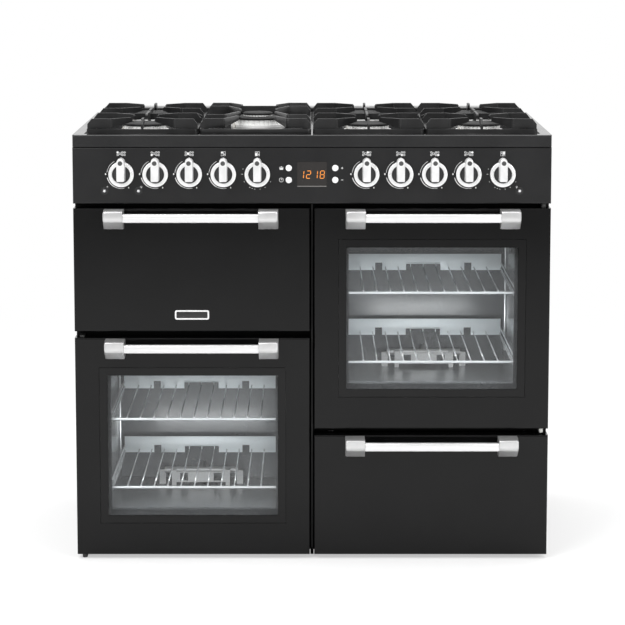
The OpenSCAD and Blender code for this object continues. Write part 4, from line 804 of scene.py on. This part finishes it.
def makeRightCap():                # from its inner face at x = 0
    wide, front, below, above = cap["width"], -cap["reach"], -cap["below"], cap["above"]
    bend = below + cap["chamfer"]
    piece = startBox("handleCap", (0, front, below), (wide, 0, above))
    editEdges(piece, lambda a, b: max(a.y, b.y) < front + 0.1 and max(a.z, b.z) < below + 0.1)
    bevelBy(cap["chamfer"], 1)
    editEdges(piece, lambda a, b: max(a.z, b.z) < below + 0.1 and a.y < -1 and b.y < -1 and
              abs(a.y - b.y) < 0.1)
    bpy.ops.transform.translate(value=(0, cap["slope"] * mm, 0))
    editEdges(piece, lambda a, b: max(a.y, b.y) < front + 0.1 and min(a.z, b.z) > above - 0.1)
    bevelBy(cap["nose"], 5)
    editEdges(piece, lambda a, b: max(a.y, b.y) < front + 0.1 and max(abs(a.z - bend), abs(b.z - bend)) < 0.1)
    bevelBy(cap["crease"], 6)
    editEdges(piece, lambda a, b: min(a.x, b.x) > wide - 0.1 and max(a.y, b.y) < -cap["slopeFoot"] and
              min(a.z, b.z) <= above - 0.1)
    bevelBy(cap["end"], 6)
    return modified(piece, "BEVEL", width=cap["edge"] * mm, segments=2, limit_method="ANGLE",
                    angle_limit=math.radians(35))


def makeLeftCap(rightCap):
    piece = copied(rightCap, "handleCapLeft")
    pick(piece)
    bpy.ops.object.mode_set(mode="EDIT")
    bpy.ops.mesh.select_all(action="SELECT")
    resizeBy(-1, 1, 1, (0, 0, 0))
    bpy.ops.mesh.flip_normals()
    clearPicks()
    return piece


def dressHandle(node, rightCap, leftCap):
    bar = dressed(node, node.replace("_", "") + "Metal", "handleBrushed", 0.5)
    low, high = boxOf(node)
    leftEnd, rightEnd = low.x + cap["width"], high.x - cap["width"]
    editFaces(bar, lambda middle, normal: middle.x < leftEnd + 0.1 or middle.x > rightEnd - 0.1)
    bpy.ops.mesh.delete(type="FACE")
    label = node.replace("_handle", "") + "Handle"
    bar.name = label + "Bar"
    bar.data.name = bar.name
    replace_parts(bar, node)
    for side, model, x in (("CapRight", rightCap, rightEnd), ("CapLeft", leftCap, leftEnd)):
        end = copied(model, label + side, x, high.y, low.z + cap["below"])
        finished(end, "handleSatin", bodyOf[node], 45)


rightCap = makeRightCap()
leftCap = makeLeftCap(rightCap)
for node in [name for name in nodes if name.endswith("_handle")]:
    dressHandle(node, rightCap, leftCap)
for model in (rightCap, leftCap):
    bpy.data.objects.remove(model)
print("handles dressed")


# Pan supports with their edges broken, as cast and enamelled iron has

for node in [name for name in nodes if name.startswith("pan_support")]:
    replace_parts(dressed(node, node.replace("pan_support_", "castSupport"), "supportIron", 0.6), node)
print("pan supports dressed")


# Black borders printed on the oven door panes

border = {"outer": (393, 335), "inner": (360, 302), "standOff": 0.06, "thickness": 0.12}


def makeBorder(side):
    low, high = boxOf(side + "_door_glass")
    x, z = (low.x + high.x) / 2, (low.z + high.z) / 2
    outer = startCard(side + "DoorBorder", *border["outer"], x, z)
    editFaces(outer, lambda middle, normal: True)
    insetBy((border["outer"][0] - border["inner"][0]) / 2)
    bpy.ops.mesh.delete(type="FACE")
    clearPicks()
    moved(outer, 0, low.y - border["standOff"], 0)
    modified(outer, "SOLIDIFY", thickness=border["thickness"] * mm, offset=1.0)
    finished(outer, "borderPrint", side + "_oven_door")


for side in ("left", "right"):
    makeBorder(side)
print("window borders made")


# Shelves: the guard plates are parted from the wires and given a satin finish

def dressShelves():
    whole = dressed("oven_shelves", "ovenShelves", "shelfChrome", 0.2)
    editFaces(whole, lambda middle, normal: True)
    bpy.ops.mesh.separate(type="LOOSE")
    clearPicks()
    parts = [o for o in bpy.data.objects if o.name.startswith("ovenShelves")]
    wires = [o for o in parts if max(v.co.y for v in o.data.vertices) -
             min(v.co.y for v in o.data.vertices) > 0.1]
    guards = [o for o in parts if o not in wires]
    shelves = joined("ovenShelfWires", wires)
    plates = joined("ovenShelfGuards", guards)
    for piece, finish in ((shelves, "shelfChrome"), (plates, "guardSatin")):
        finished(piece, finish)
    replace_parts(shelves, "oven_shelves")


dressShelves()
print("shelves dressed")


# Hinge brackets: the one that shows under the right oven door is bright, the others dark

def dressHinges():
    whole = dressed("door_hinge_brackets", "hingeBrackets", "hingeDark", 0.3)
    editFaces(whole, lambda middle, normal: True)
    bpy.ops.mesh.separate(type="LOOSE")
    clearPicks()
    parts = [o for o in bpy.data.objects if o.name.startswith("hingeBrackets")]
    doorLow = boxOf("right_door_panel")[0].z
    bright = [o for o in parts if min(v.co.x for v in o.data.vertices) > 0 and
              min(v.co.z for v in o.data.vertices) < doorLow * mm]
    dark = [o for o in parts if o not in bright]
    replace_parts(finished(joined("hingesDark", dark), "hingeDark"),
                "door_hinge_brackets")
    for piece in bright:
        finished(piece, "hingeZinc")


dressHinges()
print("hinge brackets dressed")


# A blank plate low on the grill door, with a bright rim

blankPlate = {"width": 72, "height": 20, "rim": 3.2, "above": 35.5, "corner": 4}


def makeBlankPlate():
    low, high = boxOf("grill_door_panel")
    x, z = (low.x + high.x) / 2, low.z + blankPlate["above"]
    w, h = blankPlate["width"] / 2, blankPlate["height"] / 2
    for name, grow, front, finish in (("plateRim", 0, 0.9, "knobBright"),
                                      ("plateField", blankPlate["rim"], 1.2, "dotBlack")):
        plate = startBox(name, (x - w + grow, low.y - front, z - h + grow),
                         (x + w - grow, low.y + 0.2, z + h - grow))
        editEdges(plate, lambda a, b: abs(a.x - b.x) < 0.1 and abs(a.z - b.z) < 0.1)
        bevelBy(blankPlate["corner"] - grow * 0.6, 5)
        editEdges(plate, lambda a, b: a.y < low.y - front + 0.05 and b.y < low.y - front + 0.05)
        bevelBy(0.3, 2)
        finished(plate, finish, "grill_door")


makeBlankPlate()


# The painted face of the strip between the columns, and a near-black block near the floor that is painted
# shade, standing in for the shadow under the cooker

strip = {"half": 1.6, "proud": 0.4, "footHalf": 3.4, "footLow": 6.5, "footRise": 15}


def makeStripFace():
    low = boxOf("chassis_frame")[0]
    top = boxOf("control_panel")[0].z - 2
    for name, half, bottom, height, finish in (
            ("stripFace", strip["half"], low.z, top - low.z, "panelEnamel"),
            # the near-black block below the strip is painted shade: it hides the pale floor seen in the gap
            ("stripFoot", strip["footHalf"], strip["footLow"], strip["footRise"], "frameEnamel")):
        piece = startBox(name, (-half, low.y - strip["proud"], bottom), (half, low.y - 0.05, bottom + height))
        editEdges(piece, lambda a, b: max(a.y, b.y) < low.y - strip["proud"] + 0.05)
        bevelBy(0.15, 2)
        finished(piece, finish)


makeStripFace()


# Screws on the back panel and the terminal box

screw = {"radius": 4.2, "height": 1.8, "slotDepth": 0.7}


def makeScrew():
    head = startRod("screwHead", (0, screw["height"] / 2 - 0.2, 0), screw["radius"], screw["height"],
                    sides=20)
    editFaces(head, lambda middle, normal: normal.y > 0.9)
    insetBy(1.4)
    insetBy(0.8)
    extrudeBy(0, -screw["slotDepth"], 0)
    editEdges(head, lambda a, b: min(a.y, b.y) > screw["height"] - 0.3 and max(
        Vector((a.x, a.z)).length, Vector((b.x, b.z)).length) > screw["radius"] - 0.1)
    bevelBy(0.6, 3)
    return head


def placeScrews():
    low, high = boxOf("back_panel")
    model = makeScrew()
    spots = [(x, z) for x in (low.x + 12, high.x - 12) for z in range(int(low.z) + 30, int(high.z), 160)]
    spots += [(x, z) for x in range(-330, 331, 165) for z in (low.z + 10, high.z - 12)]
    heads = [copied(model, "head", x, high.y - 1.5, z) for x, z in spots]
    finished(joined("backScrews", heads), "hingeZinc")
    boxLow, boxHigh = boxOf("mains_terminal")
    middle = (boxLow.x + boxHigh.x) / 2
    heads = [copied(model, "head", middle + s * 34, boxHigh.y, boxHigh.z - 9) for s in (-1, 1)]
    finished(joined("terminalScrews", heads), "hingeZinc")
    bpy.data.objects.remove(model)


placeScrews()
print("plate and screws made")


# Floor, light and camera

stage = {"size": 90, "near": 1.0, "far": 3.2, "shade": 0.5, "world": 0.55,
         "backdrop": {"away": 8.0, "width": 32.0, "height": 12.0}}


def seenDirectly(tree):            # 1 for rays from the camera and through glass
    path = addNode(tree, "LightPath")
    either = addNode(tree, "Math", operation="MAXIMUM")
    tree.links.new(path.outputs["Is Camera Ray"], either.inputs[0])
    tree.links.new(path.outputs["Is Transmission Ray"], either.inputs[1])
    return either.outputs[0]


def makeFloor():
    clearPicks()
    bpy.ops.mesh.primitive_plane_add(size=stage["size"])
    floor = named("floor")
    material = bpy.data.materials.new("floorPale")
    material.use_nodes = True
    tree = material.node_tree
    tree.nodes.clear()
    link = tree.links.new
    plain = addNode(tree, "BsdfDiffuse", {"Color": (0.8, 0.8, 0.8, 1)})
    matt = addNode(tree, "BsdfDiffuse", {"Color": (stage["shade"],) * 3 + (1,)})
    white = addNode(tree, "Emission", {"Strength": 1.0})
    lift = addNode(tree, "Emission", {"Strength": 1 - stage["shade"]})
    nearBy = addNode(tree, "AddShader")
    blend = addNode(tree, "MixShader")
    seen = addNode(tree, "MixShader")
    place = addNode(tree, "TexCoord")
    away = addNode(tree, "VectorMath", operation="LENGTH")
    fade = addNode(tree, "MapRange", {"From Min": stage["near"], "From Max": stage["far"]},
                   interpolation_type="SMOOTHSTEP")
    out = addNode(tree, "OutputMaterial")
    link(place.outputs["Object"], away.inputs[0])
    link(away.outputs["Value"], fade.inputs["Value"])
    link(matt.outputs[0], nearBy.inputs[0])
    link(lift.outputs[0], nearBy.inputs[1])
    link(fade.outputs[0], blend.inputs[0])
    link(nearBy.outputs[0], blend.inputs[1])
    link(white.outputs[0], blend.inputs[2])
    link(seenDirectly(tree), seen.inputs[0])
    link(plain.outputs[0], seen.inputs[1])
    link(blend.outputs[0], seen.inputs[2])
    link(seen.outputs[0], out.inputs["Surface"])
    floor.data.materials.append(material)


def makeBackdrop():                # a white wall behind, which the hob reflects
    back = stage["backdrop"]
    clearPicks()
    bpy.ops.mesh.primitive_plane_add(size=1, rotation=(math.pi / 2, 0, 0),
                                     location=(0, back["away"], back["height"] / 2))
    bpy.context.object.scale = (back["width"], back["height"], 1)
    wall = named("backdrop")
    material = bpy.data.materials.new("backdropWhite")
    material.use_nodes = True
    tree = material.node_tree
    tree.nodes.clear()
    white = addNode(tree, "Emission", {"Strength": 1.0})
    out = addNode(tree, "OutputMaterial")
    tree.links.new(white.outputs[0], out.inputs["Surface"])
    wall.data.materials.append(material)


def makeWorld():
    world = bpy.data.worlds.new("studio")
    bpy.context.scene.world = world
    world.use_nodes = True
    tree = world.node_tree
    tree.nodes.clear()
    lit = addNode(tree, "Background", {"Strength": stage["world"]})
    white = addNode(tree, "Background", {"Strength": 1.0})
    for background in (lit, white):
        background.inputs["Color"].default_value = (1, 1, 1, 1)
    seen = addNode(tree, "MixShader")
    out = addNode(tree, "OutputWorld")
    tree.links.new(seenDirectly(tree), seen.inputs[0])
    tree.links.new(lit.outputs[0], seen.inputs[1])
    tree.links.new(white.outputs[0], seen.inputs[2])
    tree.links.new(seen.outputs[0], out.inputs["Surface"])


lamps = {"keySoftbox": {"place": (-2.4, -3.4, 3.6), "aim": (0, 0, 0.6), "size": (2.6, 2.0), "power": 130},
         "fillSoftbox": {"place": (3.0, -3.0, 2.4), "aim": (0, 0, 0.5), "size": (2.2, 2.2), "power": 78},
         "topSoftbox": {"place": (0, 0.2, 3.4), "aim": (0, 0, 0.9), "size": (3.0, 2.0), "power": 70},
         "leftOvenLamp": {"node": "left_oven_cavity", "height": 0.07, "power": 0.36},
         "rightOvenLamp": {"node": "right_oven_cavity", "height": 0.07, "power": 0.36}}


def addLamp(name, place, aim, size, power):
    data = bpy.data.lights.new(name, "AREA")
    data.shape = "RECTANGLE"
    data.size, data.size_y = size
    data.energy = power
    lamp = bpy.data.objects.new(name, data)
    bpy.context.scene.collection.objects.link(lamp)
    lamp.location = place
    lamp.rotation_euler = (Vector(aim) - Vector(place)).to_track_quat("-Z", "Y").to_euler()


def makeLights():
    for name, lamp in lamps.items():
        if "node" not in lamp:
            addLamp(name, **lamp)
            continue
        low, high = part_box(lamp["node"])
        x = (low.x + high.x) / 2
        z = low.z + lamp["height"]
        addLamp(name, (x, low.y + 0.05, z), (x, high.y, z - 0.02), (0.26, 0.03), lamp["power"])


view = {"place": (0.0, -5.199, 1.347), "pitch": 82.42, "lens": 136.6, "shift": (0.0008, -0.12)}


def makeCamera():
    data = bpy.data.cameras.new("camera")
    data.lens = view["lens"]
    data.sensor_width = 36
    data.shift_x, data.shift_y = view["shift"]
    camera = bpy.data.objects.new("camera", data)
    bpy.context.scene.collection.objects.link(camera)
    camera.location = view["place"]
    camera.rotation_euler = (math.radians(view["pitch"]), 0, 0)
    bpy.context.scene.camera = camera


makeFloor()
makeBackdrop()
makeWorld()
makeLights()
makeCamera()
bpy.context.scene.view_settings.view_transform = "Standard"
print("stage, lights and camera set")

clearPicks()
